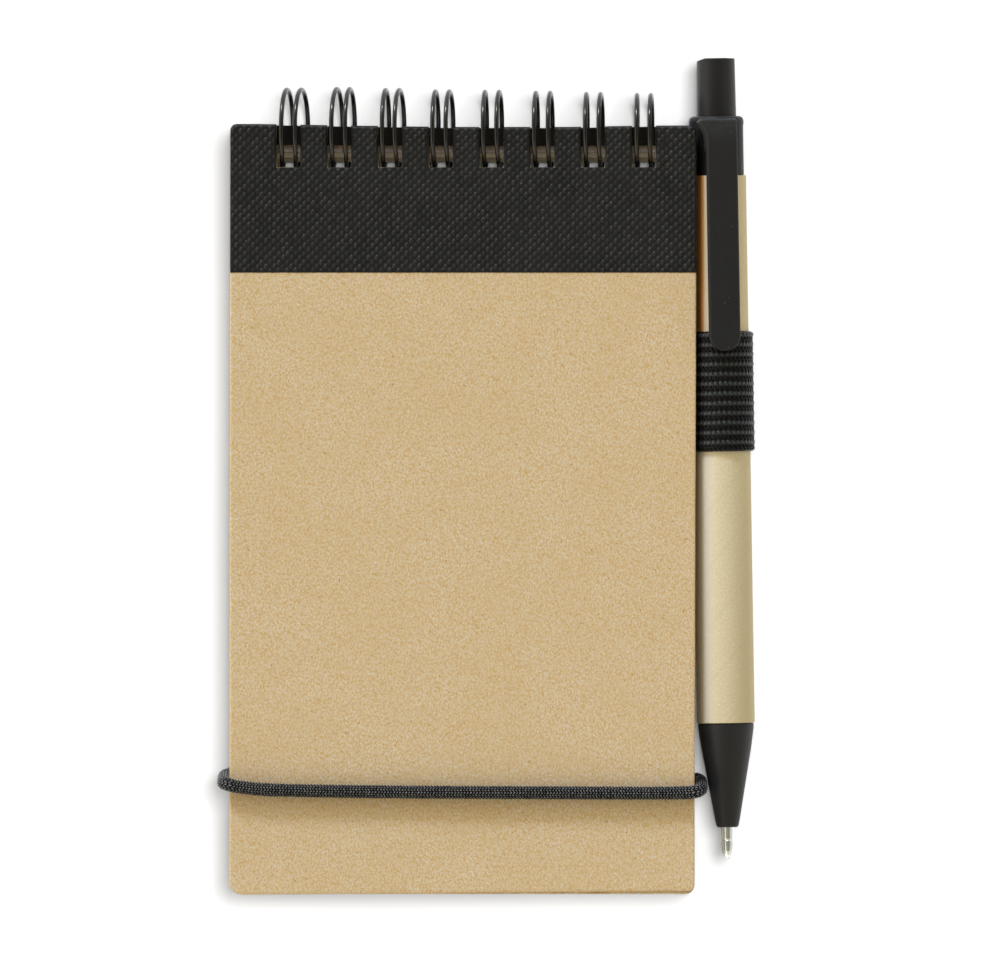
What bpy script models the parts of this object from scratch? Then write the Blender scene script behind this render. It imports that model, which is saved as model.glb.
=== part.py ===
"""Top-bound pocket notebook: two kraft cover boards with black leatherette spine strips on a
twin-loop wire, a stack of sheets, a round elastic closure, and a push-button pen held in a
woven elastic loop at the right-hand edge.

World frame: X to the right across the cover, Y up the cover towards the wire, Z out of the
front cover. The origin is the centre of the back cover's outer face.
Lengths are millimetres; add_piece turns them into metres.
"""

import math

import bmesh
import bpy
import numpy as np
from mathutils import Vector
from mathutils.geometry import tessellate_polygon

METRES_PER_MM = 0.001

# ---- driving dimensions shared by several pieces ----------------------------
COVER_HALF_W = 38.75
COVER_TOP = 64.2
FRONT_BOTTOM = -63.6
BACK_BOTTOM = -COVER_TOP
BOARD_T = 1.5
PAD_T = 11.0                 # outer face to outer face of the two boards

HOLES = 8
PITCH = 8.467                # three holes to the inch
FIRST_HOLE_X = -29.0

RING_Y = 63.4                # axis of the binding wire
RING_Z = PAD_T / 2

BACK_ORIGIN = (0.0, 0.0, 0.0)
RING_ORIGIN = (0.0, RING_Y, RING_Z)

SIDE_NAMES = {-1: "left", 1: "right"}
CORD_HOLE_X = 29.0           # holes in the back board, either side of X = 0
CORD_HOLE_Y = {-1: -43.8, 1: -44.6}

LOOP_START, LOOP_END = 9.75, 29.8    # extent of the pen loop along the pen
TAB_Z0, TAB_Z1 = 0.65, 1.45          # faces of the pen loop's flat tab

for old in list(bpy.data.objects):
    bpy.data.objects.remove(old, do_unlink=True)


# ---- materials --------------------------------------------------------------
def material(name, rgb, roughness, metallic=0.0):
    mat = bpy.data.materials.new(name)
    mat.use_nodes = True
    shader = mat.node_tree.nodes["Principled BSDF"]
    shader.inputs["Base Color"].default_value = (*rgb, 1.0)
    shader.inputs["Roughness"].default_value = roughness
    shader.inputs["Metallic"].default_value = metallic
    return mat


KRAFT = material("kraft_board", rgb=(0.60, 0.44, 0.24), roughness=0.85)
LEATHERETTE = material("leatherette", rgb=(0.028, 0.028, 0.028), roughness=0.6)
LINING = material("lining", rgb=(0.03, 0.03, 0.03), roughness=0.85)
PAPER = material("paper", rgb=(0.80, 0.77, 0.68), roughness=0.9)
WIRE = material("coated_wire", rgb=(0.012, 0.013, 0.013), roughness=0.25)
ELASTIC = material("elastic", rgb=(0.022, 0.023, 0.023), roughness=0.9)
PLASTIC = material("black_plastic", rgb=(0.03, 0.03, 0.03), roughness=0.45)
CARD = material("card_tube", rgb=(0.62, 0.54, 0.36), roughness=0.7)
STEEL = material("steel", rgb=(0.6, 0.6, 0.6), roughness=0.25, metallic=1.0)
NICKEL = material("nickel", rgb=(0.72, 0.70, 0.66), roughness=0.15, metallic=1.0)
INK_TUBE = material("refill_plastic", rgb=(0.75, 0.76, 0.74), roughness=0.4)


# ---- objects ----------------------------------------------------------------
def add_piece(name, shape, mat, origin=BACK_ORIGIN, smooth=False):
    """One object from a shape, (points, faces) in millimetres, its own origin at `origin`."""
    points, faces = shape
    base = np.asarray(origin, float)
    mesh = bpy.data.meshes.new(name)
    mesh.from_pydata(
        [tuple((np.asarray(point, float) - base) * METRES_PER_MM) for point in points], [], faces
    )
    work = bmesh.new()
    work.from_mesh(mesh)
    bmesh.ops.recalc_face_normals(work, faces=work.faces)
    if work.calc_volume(signed=True) < 0:
        bmesh.ops.reverse_faces(work, faces=work.faces)
    work.to_mesh(mesh)
    work.free()
    mesh.materials.append(mat)
    for polygon in mesh.polygons:
        polygon.use_smooth = smooth
    obj = bpy.data.objects.new(name, mesh)
    obj.location = Vector(base * METRES_PER_MM)
    bpy.context.scene.collection.objects.link(obj)
    return obj


def add_boolean(target, name, shape, mat, operation):
    """Helper object, hidden from renders, that is cut from or joined to `target`."""
    tool = add_piece(name, shape, mat)
    tool.hide_render = True
    tool.display_type = "WIRE"
    mod = target.modifiers.new(name, "BOOLEAN")
    mod.operation = operation
    mod.solver = "EXACT"
    mod.object = tool


# ---- outlines and shapes ----------------------------------------------------
def arc(x_centre, y_centre, radius, start_deg, end_deg, steps):
    angles = [
        math.radians(start_deg + (end_deg - start_deg) * i / steps) for i in range(steps + 1)
    ]
    return [
        (x_centre + radius * math.cos(angle), y_centre + radius * math.sin(angle))
        for angle in angles
    ]


def circle(x, y, radius, count):
    return arc(x, y, radius, 0, 360 - 360 / count, count - 1)


def rounded_outline(x_min, x_max, y_min, y_max, radii, notches=(), notch_bottom=0.0, steps=5):
    """Counter-clockwise outline with notches (left, right) let into its top edge.

    Radii are bottom-left, bottom-right, top-right, top-left.
    """
    low_left, low_right, top_right, top_left = radii
    outline = arc(x_min + low_left, y_min + low_left, low_left, 180, 270, steps)
    outline += arc(x_max - low_right, y_min + low_right, low_right, 270, 360, steps)
    outline += arc(x_max - top_right, y_max - top_right, top_right, 0, 90, steps)
    for left, right in reversed(notches):
        outline += [(right, y_max), (right, notch_bottom), (left, notch_bottom), (left, y_max)]
    outline += arc(x_min + top_left, y_max - top_left, top_left, 90, 180, steps)
    return outline


def loft(rings):
    """Solid through rings of equally many points, with a flat cap at each end."""
    points = [point for ring in rings for point in ring]
    count = len(rings[0])
    faces = []
    for start in range(0, len(points) - count, count):
        for k in range(count):
            this, after = start + k, start + (k + 1) % count
            faces.append((this, after, after + count, this + count))
    faces.append(tuple(range(count))[::-1])
    faces.append(tuple(range(len(points) - count, len(points))))
    return points, faces


def prism(outline, z_low, z_high, holes=()):
    """Upright solid on an outline, with holes right through it."""
    loops = [outline, *holes]
    flat = [point for loop in loops for point in loop]
    rings = [[(x, y, z) for x, y in flat] for z in (z_low, z_high)]
    if not holes:
        return loft(rings)
    count = len(flat)
    triangles = tessellate_polygon([[Vector((x, y, 0)) for x, y in loop] for loop in loops])
    faces = [tuple(triangle) for triangle in triangles]
    faces += [tuple(i + count for i in triangle)[::-1] for triangle in triangles]
    start = 0
    for loop in loops:
        for i in range(len(loop)):
            this, after = start + i, start + (i + 1) % len(loop)
            faces.append((this, after, after + count, this + count))
        start += len(loop)
    return rings[0] + rings[1], faces


def box(x_min, x_max, y_min, y_max, z_low, z_high):
    outline = [(x_min, y_min), (x_max, y_min), (x_max, y_max), (x_min, y_max)]
    return prism(outline, z_low, z_high)


def tube(path, radius, sides):
    """Closed tube along a path, its section carried along with the least turning."""
    path = [np.asarray(point, float) for point in path]
    tangents = []
    for i in range(len(path)):
        run = path[min(i + 1, len(path) - 1)] - path[max(i - 1, 0)]
        tangents.append(run / np.linalg.norm(run))
    across = np.array([1.0, 0, 0]) if abs(tangents[0][0]) < 0.8 else np.array([0, 0, 1.0])
    angles = [2 * math.pi * k / sides for k in range(sides)]
    rings = []
    for centre, tangent in zip(path, tangents):
        across = across - tangent * (across @ tangent)
        across /= np.linalg.norm(across)
        square = np.cross(tangent, across)
        rings.append([
            centre + radius * (math.cos(angle) * across + math.sin(angle) * square)
            for angle in angles
        ])
    return loft(rings)


# ---- binding holes ----------------------------------------------------------
HOLE_W = 4.0
SLOT_BOTTOM = 57.11          # boards and strips are slotted from their top edge to here
LINER_HOLE_TOP = 60.86
BACK_HOLE_SHIFT = 0.30
PAGE_HOLE_SHIFT = 0.15


def hole_spans(shift):
    """Left and right edge of each hole, from left to right."""
    centres = [FIRST_HOLE_X + shift + PITCH * k for k in range(HOLES)]
    return [(x - HOLE_W / 2, x + HOLE_W / 2) for x in centres]


def hole_loops(shift, y_min, y_max):
    return [
        [(left, y_min), (left, y_max), (right, y_max), (right, y_min)]
        for left, right in hole_spans(shift)
    ]


# ---- cover boards -----------------------------------------------------------
FRONT_RADII = (2.1, 1.0, 1.1, 1.1)
BACK_RADII = (2.1, 1.4, 1.1, 1.1)
STRIP_EDGE_Y = 39.5          # lower edge of the step the strip lies in
STRIP_REBATE = 0.30          # depth of that step
EDGE_BEVEL = 0.16


def split_at_strip_edge(outline):
    """The outline with a point added wherever it crosses the strip's edge."""
    split = []
    for (x, y), (next_x, next_y) in zip(outline, outline[1:] + outline[:1]):
        split.append((x, y))
        if (y - STRIP_EDGE_Y) * (next_y - STRIP_EDGE_Y) < 0:
            share = (STRIP_EDGE_Y - y) / (next_y - y)
            split.append((x + (next_x - x) * share, STRIP_EDGE_Y))
    return split


def is_low(y):
    return y < STRIP_EDGE_Y + 1e-6


def is_high(y):
    return y > STRIP_EDGE_Y - 1e-6


def stepped_board(name, bottom, radii, shift, z_in, z_out, z_step, origin):
    """Cover board whose outer face drops to z_step above the strip's edge."""
    outline = split_at_strip_edge(rounded_outline(
        -COVER_HALF_W, COVER_HALF_W, bottom, COVER_TOP, radii, hole_spans(shift), SLOT_BOTTOM
    ))
    points, index = [], {}

    def corner(x, y, z):
        """Index of the point, shared by every face that meets there."""
        key = (round(x, 5), round(y, 5), round(z, 5))
        if key not in index:
            index[key] = len(points)
            points.append((x, y, z))
        return index[key]

    faces = [
        [corner(x, y, z_in) for x, y in outline],
        [corner(x, y, z_out) for x, y in outline if is_low(y)][::-1],
        [corner(x, y, z_step) for x, y in outline if is_high(y)][::-1],
        [
            corner(-COVER_HALF_W, STRIP_EDGE_Y, z_step),
            corner(COVER_HALF_W, STRIP_EDGE_Y, z_step),
            corner(COVER_HALF_W, STRIP_EDGE_Y, z_out),
            corner(-COVER_HALF_W, STRIP_EDGE_Y, z_out),
        ],
    ]
    for (x, y), (next_x, next_y) in zip(outline, outline[1:] + outline[:1]):
        face = [corner(x, y, z_in), corner(next_x, next_y, z_in)]
        if is_low(y) and is_low(next_y):
            # a wall that ends at the step takes in the step's corner too
            if is_high(next_y):
                face.append(corner(next_x, next_y, z_step))
            face += [corner(next_x, next_y, z_out), corner(x, y, z_out)]
            if is_high(y):
                face.append(corner(x, y, z_step))
        else:
            face += [corner(next_x, next_y, z_step), corner(x, y, z_step)]
        faces.append(face)

    board = add_piece(name, (points, faces), KRAFT, origin)
    mod = board.modifiers.new("edge", "BEVEL")
    mod.width = EDGE_BEVEL * METRES_PER_MM
    mod.segments = 2
    mod.limit_method = "ANGLE"
    mod.angle_limit = math.radians(50)
    return board


# ---- spine strips and liners ------------------------------------------------
STRIP_T = 0.28
STRIP_GAP = 0.02             # between strip and board
STRIP_SETBACK = 0.2          # from the step's edge to the strip
STRIP_RADII = (0.05, 0.05, 1.1, 1.1)
LINER_T = 0.20
LINER_GAP = 0.03             # between liner and board
LINER_HALF_W = 38.2
LINER_BOTTOM_INSET = 0.6
LINER_TOP_INSET = 0.5
LINER_RADII = (1.8, 1, 1, 1)


def spine_strip(name, shift, z_low, origin):
    outline = rounded_outline(
        -COVER_HALF_W, COVER_HALF_W, STRIP_EDGE_Y + STRIP_SETBACK, COVER_TOP, STRIP_RADII,
        hole_spans(shift), SLOT_BOTTOM, steps=4,
    )
    add_piece(name, prism(outline, z_low, z_low + STRIP_T), LEATHERETTE, origin)


def liner(name, board_bottom, shift, z_low, origin):
    outline = rounded_outline(
        -LINER_HALF_W, LINER_HALF_W,
        board_bottom + LINER_BOTTOM_INSET, COVER_TOP - LINER_TOP_INSET, LINER_RADII, steps=3,
    )
    holes = hole_loops(shift, SLOT_BOTTOM, LINER_HOLE_TOP)
    add_piece(name, prism(outline, z_low, z_low + LINER_T, holes), LINING, origin)


def front_cover():
    z_in, z_step = PAD_T - BOARD_T, PAD_T - STRIP_REBATE
    stepped_board(
        "front_board", FRONT_BOTTOM, FRONT_RADII, 0.0, z_in, PAD_T, z_step, RING_ORIGIN
    )
    spine_strip("front_spine_strip", 0.0, z_step + STRIP_GAP, RING_ORIGIN)
    liner("front_liner", FRONT_BOTTOM, 0.0, z_in - LINER_GAP - LINER_T, RING_ORIGIN)


# ---- back cover, cut for the pen loop's tab and the closure cord --------------
CUT_LOW, CUT_HIGH = -1.0, 3.0        # the cutters reach past the board's faces
TAB_CUT_X = (25.8, 45.0)
TAB_CUT_SIDE_GAP = 0.8
TAB_CUT_Z = TAB_Z0 - 0.06
CORD_HOLE_R = 1.35
POCKET_HALF_W, POCKET_HALF_L, POCKET_Z = 1.5, 4.0, 0.82
ANCHOR_HALF_W, ANCHOR_HALF_L = 1.1, 3.6
ANCHOR_Z0, ANCHOR_Z1 = 0.9, 1.35
ANCHOR_RADII = (1, 1, 1, 1)


def back_cover():
    board = stepped_board(
        "back_board", BACK_BOTTOM, BACK_RADII, BACK_HOLE_SHIFT, BOARD_T, 0.0, STRIP_REBATE,
        BACK_ORIGIN,
    )
    spine_strip(
        "back_spine_strip", BACK_HOLE_SHIFT, STRIP_REBATE - STRIP_GAP - STRIP_T, BACK_ORIGIN
    )
    liner("back_liner", BACK_BOTTOM, BACK_HOLE_SHIFT, BOARD_T + LINER_GAP, BACK_ORIGIN)

    tab_recess = box(
        *TAB_CUT_X, LOOP_START - TAB_CUT_SIDE_GAP, LOOP_END + TAB_CUT_SIDE_GAP, TAB_CUT_Z, CUT_HIGH
    )
    add_boolean(board, "cut_tab", tab_recess, KRAFT, "DIFFERENCE")
    for side in SIDE_NAMES:
        cord_anchor(board, side)


def cord_anchor(board, side):
    """Cord hole, the pocket over it in the inner face, and the steel bar in the pocket."""
    x, y = side * CORD_HOLE_X, CORD_HOLE_Y[side]
    hole = prism(circle(x, y, CORD_HOLE_R, 24), CUT_LOW, CUT_HIGH)
    pocket = box(
        x - POCKET_HALF_W, x + POCKET_HALF_W, y - POCKET_HALF_L, y + POCKET_HALF_L,
        POCKET_Z, CUT_HIGH,
    )
    add_boolean(board, f"cut_hole_{side}", hole, KRAFT, "DIFFERENCE")
    add_boolean(board, f"cut_bar_{side}", pocket, KRAFT, "DIFFERENCE")
    outline = rounded_outline(
        x - ANCHOR_HALF_W, x + ANCHOR_HALF_W, y - ANCHOR_HALF_L, y + ANCHOR_HALF_L,
        ANCHOR_RADII, steps=4,
    )
    add_piece("cord_anchor_" + SIDE_NAMES[side], prism(outline, ANCHOR_Z0, ANCHOR_Z1), STEEL)


# ---- sheets -----------------------------------------------------------------
PAGE_LEFT, PAGE_RIGHT = -37.9, 36.5
PAGE_LEN = 124.2
PAGE_MARGIN = 3.3            # from the top of the punched holes to the top edge
PAGE_HOLE_H = 3.76
PAGE_RADII = (0.8, 0.8, 0.8, 0.8)
SHEET_T = 0.12
SHEET_HOLE_TOP = 59.6
SHEET_TOPS = (9.12, 8.95, 8.78, 8.61)
PAGE_BLOCKS = (              # name, top of the punched holes, lower face, upper face
    ("page_block_upper", 58.85, 7.50, 8.40),
    ("page_block_middle", 58.10, 3.70, 7.45),
    ("page_block_lower", 58.85, 1.85, 3.65),
)


def pages(name, hole_top, z_low, z_high):
    top = hole_top + PAGE_MARGIN
    outline = rounded_outline(PAGE_LEFT, PAGE_RIGHT, top - PAGE_LEN, top, PAGE_RADII, steps=2)
    holes = hole_loops(PAGE_HOLE_SHIFT, hole_top - PAGE_HOLE_H, hole_top)
    add_piece(name, prism(outline, z_low, z_high, holes), PAPER, RING_ORIGIN)


def page_stack():
    for i, z in enumerate(SHEET_TOPS):
        pages(f"sheet_{i + 1}", SHEET_HOLE_TOP, z - SHEET_T, z)
    for block in PAGE_BLOCKS:
        pages(*block)


# ---- binding wire -----------------------------------------------------------
RING_R = 6.5                 # to the middle of the wire
WIRE_R = 0.4
WIRE_SIDES = 6
BASE_DEG = 262.0             # where the connecting bars lie, from +Y towards +Z
TIP_DEG = -88.0              # where the closed fingertips lie
STRAND_STEPS = 18
PAIR_SHIFT, PAIR_SWAY = 0.15, 0.25   # a pair's centre from its hole: fixed part, swing
PAIR_HALF, PAIR_TAPER = 1.19, 0.05   # half the gap between strands: mean, swing
BAR_BEND_R = 0.8             # radius of the bends into the connecting bars
BAR_BEND_DEG = math.degrees(BAR_BEND_R / RING_R)


def on_ring(x, deg):
    angle = math.radians(deg)
    return (x, RING_Y + RING_R * math.cos(angle), RING_Z + RING_R * math.sin(angle))


def pair_half(deg):
    return PAIR_HALF - PAIR_TAPER * math.sin(math.radians(deg))


def strand_x(k, deg, side):
    """X of one strand of pair k; side 0 gives the middle of the pair."""
    centre = FIRST_HOLE_X + PITCH * k + PAIR_SHIFT - PAIR_SWAY * math.sin(math.radians(deg))
    return centre + side * pair_half(deg)


def strand(k, side, start_deg, end_deg):
    degrees = np.linspace(start_deg, end_deg, STRAND_STEPS + 1)
    return [on_ring(strand_x(k, deg, side), deg) for deg in degrees]


def fingertip(k, start_deg):
    """Round end joining the two strands of pair k."""
    x = strand_x(k, TIP_DEG, 0)
    radius = pair_half(TIP_DEG)
    angles = np.radians([30, 60, 90, 120, 150])
    return [
        on_ring(
            x - radius * math.cos(angle),
            start_deg - math.degrees(radius / RING_R) * math.sin(angle),
        )
        for angle in angles
    ]


def bar_bend(k, side):
    """Bend from a strand out into the connecting bar beside it, strand end first."""
    x = strand_x(k, BASE_DEG, side)
    return [
        on_ring(
            x + side * BAR_BEND_R * (1 - math.cos(angle)),
            BASE_DEG - BAR_BEND_DEG * (1 - math.sin(angle)),
        )
        for angle in np.radians([30, 60, 90])
    ]


def binding_wire():
    turn_deg = TIP_DEG + math.degrees(pair_half(TIP_DEG) / RING_R)
    path = []
    for k in range(HOLES):
        has_left_bar, has_right_bar = k > 0, k < HOLES - 1
        if has_left_bar:
            path += bar_bend(k, -1)[::-1]
        path += strand(k, -1, BASE_DEG - BAR_BEND_DEG * has_left_bar, turn_deg)
        path += fingertip(k, turn_deg)
        path += strand(k, 1, turn_deg, BASE_DEG - BAR_BEND_DEG * has_right_bar)
        if has_right_bar:
            path += bar_bend(k, 1)
    add_piece("binding_wire", tube(path, WIRE_R, WIRE_SIDES), WIRE, RING_ORIGIN, smooth=True)


# ---- pen frame: along the pen, across it to the right, out of the cover -------
PEN_LEAN = 0.01612           # sideways run per unit length, to the left going up
PEN_LEAN_NORM = math.hypot(1.0, PEN_LEAN)
PEN_ALONG = np.array([-PEN_LEAN, 1.0, 0.0]) / PEN_LEAN_NORM
PEN_ACROSS = np.array([1.0, PEN_LEAN, 0.0]) / PEN_LEAN_NORM
PEN_OUT = np.array([0.0, 0.0, 1.0])
PEN_Z = PAD_T / 2
PEN_ORIGIN = (43.42, 0.0, PEN_Z)     # where the pen's axis crosses Y = 0
LATHE_SIDES = 28


def pen_point(along, across, out):
    return np.array(PEN_ORIGIN) + along * PEN_ALONG + across * PEN_ACROSS + out * PEN_OUT


def lathe(outer, inner=(), sides=LATHE_SIDES):
    """Turned solid from (along, radius) profiles.

    `inner` gives it a bore; without one, both ends of `outer` are poles of radius 0.
    """
    points, rings = [], []
    for along, radius in [*outer, *inner[::-1]]:
        count = sides if radius else 1
        rings.append(range(len(points), len(points) + count))
        for k in range(count):
            angle = 2 * math.pi * k / sides
            points.append(pen_point(along, radius * math.cos(angle), radius * math.sin(angle)))
    pairs = list(zip(rings, rings[1:]))
    if inner:
        pairs.append((rings[-1], rings[0]))
    faces = []
    for ring, other in pairs:
        for k in range(sides):
            after = (k + 1) % sides
            if len(ring) == 1:
                faces.append((ring[0], other[k], other[after]))
            elif len(other) == 1:
                faces.append((ring[k], ring[after], other[0]))
            else:
                faces.append((ring[k], ring[after], other[after], other[k]))
    return points, faces


def add_turned(name, mat, outer, inner=(), sides=LATHE_SIDES):
    return add_piece(name, lathe(outer, inner, sides), mat, PEN_ORIGIN, smooth=True)


# ---- pen profiles: (along, radius) ------------------------------------------
BARREL_R, BARREL_BORE = 4.82, 4.40
BARREL_TOP, BARREL_END = 55.80, -35.55
BARREL_SIDES = 36
PLUG_R = 4.22                # parts of the cap and nose that sit inside the barrel
CAP_R = 4.48
COLLAR_TOP = 65.73
BUTTON_TOP = 75.43
NOSE_END = -53.0
REFILL_SIDES = 18

CAP_OUTER = (
    (48.0, PLUG_R), (55.86, PLUG_R), (55.86, CAP_R), (64.2, CAP_R), (64.4, 4.56),
    (65.1, 4.54), (65.45, 4.38), (65.68, 4.05), (COLLAR_TOP, 3.70),
)
CAP_INNER = ((48.0, 3.05), (54.0, 3.05), (54.5, 3.50), (COLLAR_TOP, 3.50))
BARREL_OUTER = ((BARREL_END, BARREL_R), (BARREL_TOP, BARREL_R))
BARREL_INNER = ((BARREL_END, BARREL_BORE), (BARREL_TOP, BARREL_BORE))
NOSE_OUTER = (
    (NOSE_END, 1.62), (NOSE_END + 0.2, 1.82), (-51.7, 2.08), (-48.3, 2.66), (-42.5, 3.67),
    (-40.0, 4.12), (-37.5, 4.48), (-36.2, 4.62), (-35.62, 4.62), (-35.62, PLUG_R),
    (-28.0, PLUG_R),
)
NOSE_INNER = ((NOSE_END, 1.28), (-47.2, 1.28), (-47.2, 1.75), (-45.6, 2.60), (-28.0, 2.60))
BUTTON_OUTER = (
    (54.6, 0), (54.6, 2.3), (55.0, 2.75), (59.5, 2.75), (60.0, 3.34), (66.0, 3.33),
    (74.9, 3.23), (75.3, 3.05), (BUTTON_TOP, 2.6), (BUTTON_TOP, 0),
)
REFILL_OUTER = (
    (-44.0, 1.50), (-34.3, 1.50), (-34.2, 2.3), (-33.4, 2.3), (-33.3, 1.50), (46.4, 1.50),
)
REFILL_INNER = ((-44.0, 1.05), (46.4, 1.05))
TIP_OUTER = (
    (-38.0, 0.95), (-44.05, 0.95), (-44.05, 1.45), (-45.4, 1.45), (-45.8, 1.12),
    (-56.1, 1.12), (-56.9, 1.02), (-57.6, 0.78), (-58.05, 0.50), (-58.13, 0.42),
)
TIP_INNER = ((-38.0, 0.45), (-57.2, 0.30), (-57.55, 0.34), (-57.75, 0.39), (-58.13, 0.37))


# ---- pen clip: a flat plate in front of the barrel, with a root on the cap ----
CLIP_TURN = math.radians(9.5)        # it points a little to the right of straight out
CLIP_IN, CLIP_OUT = 5.82, 7.05       # the plate's faces, from the pen's axis
CLIP_OUTER_SCALE = 0.94              # the outer face is this much narrower
CLIP_HALF_W = 2.5
CLIP_END_CENTRE = 29.0               # centre of the round lower end
CLIP_EDGE = [                        # one long edge from the top down: along, across
    (65.0, -3.3), (63.6, -3.2), (62.2, -2.75), (61.2, -2.55), (60.0, -CLIP_HALF_W),
    (CLIP_END_CENTRE, -CLIP_HALF_W),
]
ROOT_LOW, ROOT_HIGH = 59.6, 64.9
ROOT_LEVELS = ((3.9, 3.0), (6.4, 3.1))   # distance from the pen's axis, half width


def clip_point(along, across, out):
    """A point in the pen frame turned about the pen's axis to face along the clip."""
    return pen_point(
        along,
        out * math.sin(CLIP_TURN) + across * math.cos(CLIP_TURN),
        out * math.cos(CLIP_TURN) - across * math.sin(CLIP_TURN),
    )


def clip_plate():
    half = CLIP_EDGE + [
        (CLIP_END_CENTRE - CLIP_HALF_W * math.sin(angle), -CLIP_HALF_W * math.cos(angle))
        for angle in np.radians([22.5, 45, 67.5, 90])
    ]
    # the last point is on the centre line, so it isn't mirrored
    outline = half + [(along, -across) for along, across in half[-2::-1]]
    return loft([
        [clip_point(along, across * scale, out) for along, across in outline]
        for out, scale in ((CLIP_IN, 1.0), (CLIP_OUT, CLIP_OUTER_SCALE))
    ])


def clip_root():
    return loft([
        [
            clip_point(ROOT_LOW, -half, out), clip_point(ROOT_HIGH, -half, out),
            clip_point(ROOT_HIGH, half, out), clip_point(ROOT_LOW, half, out),
        ]
        for out, half in ROOT_LEVELS
    ])


def pen_cap():
    """Collar, cap, plug and clip in one moulding."""
    cap = add_turned("pen_cap", PLASTIC, CAP_OUTER, CAP_INNER)
    add_boolean(cap, "clip_plate_tool", clip_plate(), PLASTIC, "UNION")
    add_boolean(cap, "clip_root_tool", clip_root(), PLASTIC, "UNION")


# ---- cam rotor: hub with four ribs ------------------------------------------
ROTOR_RIBS, ROTOR_SIDES = 4, 32
RIB_POINTS = 3               # ring points on each rib
RIB_R, HUB_R = 2.75, 2.15


def cam_rotor():
    per_rib = ROTOR_SIDES // ROTOR_RIBS
    ribbed = [RIB_R if k % per_rib < RIB_POINTS else HUB_R for k in range(ROTOR_SIDES)]
    levels = (
        (46.6, [1.9] * ROTOR_SIDES), (47.2, ribbed), (53.0, ribbed), (54.2, [1.6] * ROTOR_SIDES),
    )
    angles = [2 * math.pi * k / ROTOR_SIDES for k in range(ROTOR_SIDES)]
    rings = [
        [
            pen_point(along, radius * math.cos(angle), radius * math.sin(angle))
            for radius, angle in zip(radii, angles)
        ]
        for along, radii in levels
    ]
    add_piece("cam_rotor", loft(rings), PLASTIC, PEN_ORIGIN)


# ---- writing ball -----------------------------------------------------------
BALL_ALONG, BALL_R = -57.97, 0.33
BALL_SIDES = 12


def tip_ball():
    profile = [(BALL_ALONG - BALL_R, 0)]
    profile += [
        (BALL_ALONG - BALL_R * math.cos(angle), BALL_R * math.sin(angle))
        for angle in np.radians(range(20, 180, 20))
    ]
    profile += [(BALL_ALONG + BALL_R, 0)]
    centre = tuple(pen_point(BALL_ALONG, 0, 0))
    add_piece("tip_ball", lathe(profile, sides=BALL_SIDES), STEEL, centre, smooth=True)


# ---- spring round the refill ------------------------------------------------
SPRING_START, SPRING_LEN = -45.25, 10.75
SPRING_R, SPRING_WIRE_R = 1.98, 0.17
SPRING_TURNS, STEPS_PER_TURN = 8, 12
SPRING_BUNCHING = 0.045      # closes the coils up at both ends and halfway
SPRING_WIRE_SIDES = 5


def pen_spring():
    steps = SPRING_TURNS * STEPS_PER_TURN
    path = []
    for i in range(steps + 1):
        share = i / steps
        bunched = share - SPRING_BUNCHING * math.sin(4 * math.pi * share)
        angle = 2 * math.pi * SPRING_TURNS * share
        path.append(pen_point(
            SPRING_START + SPRING_LEN * bunched,
            SPRING_R * math.cos(angle), SPRING_R * math.sin(angle),
        ))
    coil = tube(path, SPRING_WIRE_R, SPRING_WIRE_SIDES)
    add_piece("pen_spring", coil, STEEL, PEN_ORIGIN, smooth=True)


def pen():
    pen_cap()
    add_turned("pen_barrel", CARD, BARREL_OUTER, BARREL_INNER, BARREL_SIDES)
    add_turned("pen_nose", PLASTIC, NOSE_OUTER, NOSE_INNER)
    add_turned("pen_button", PLASTIC, BUTTON_OUTER)
    cam_rotor()
    add_turned("refill_tube", INK_TUBE, REFILL_OUTER, REFILL_INNER, REFILL_SIDES)
    add_turned("refill_tip", NICKEL, TIP_OUTER, TIP_INNER, REFILL_SIDES)
    tip_ball()
    pen_spring()


# ---- elastic pen loop: a ring round the barrel and a flat tab into the back cover --
LOOP_IN_R, LOOP_OUT_R = 4.90, 5.60
TAB_REACH = 17.0             # to the left of the pen's axis


def tab_joint_deg(out):
    """Angle at which a face of the tab meets the left of the ring."""
    return math.degrees(math.atan2(out, -math.sqrt(LOOP_OUT_R**2 - out**2)))


def pen_loop():
    tab_low, tab_high = TAB_Z0 - PEN_Z, TAB_Z1 - PEN_Z
    outer = [(-TAB_REACH, tab_low)]
    outer += arc(0, 0, LOOP_OUT_R, tab_joint_deg(tab_low), tab_joint_deg(tab_high) + 360, 40)
    outer += [(-TAB_REACH, tab_high)]
    bore = circle(0, 0, LOOP_IN_R, 40)
    points, faces = prism(outer, LOOP_START, LOOP_END, [bore])
    # the prism's height runs along the pen
    points = [pen_point(along, across, out) for across, out, along in points]
    add_piece("pen_loop", (points, faces), ELASTIC)


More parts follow.
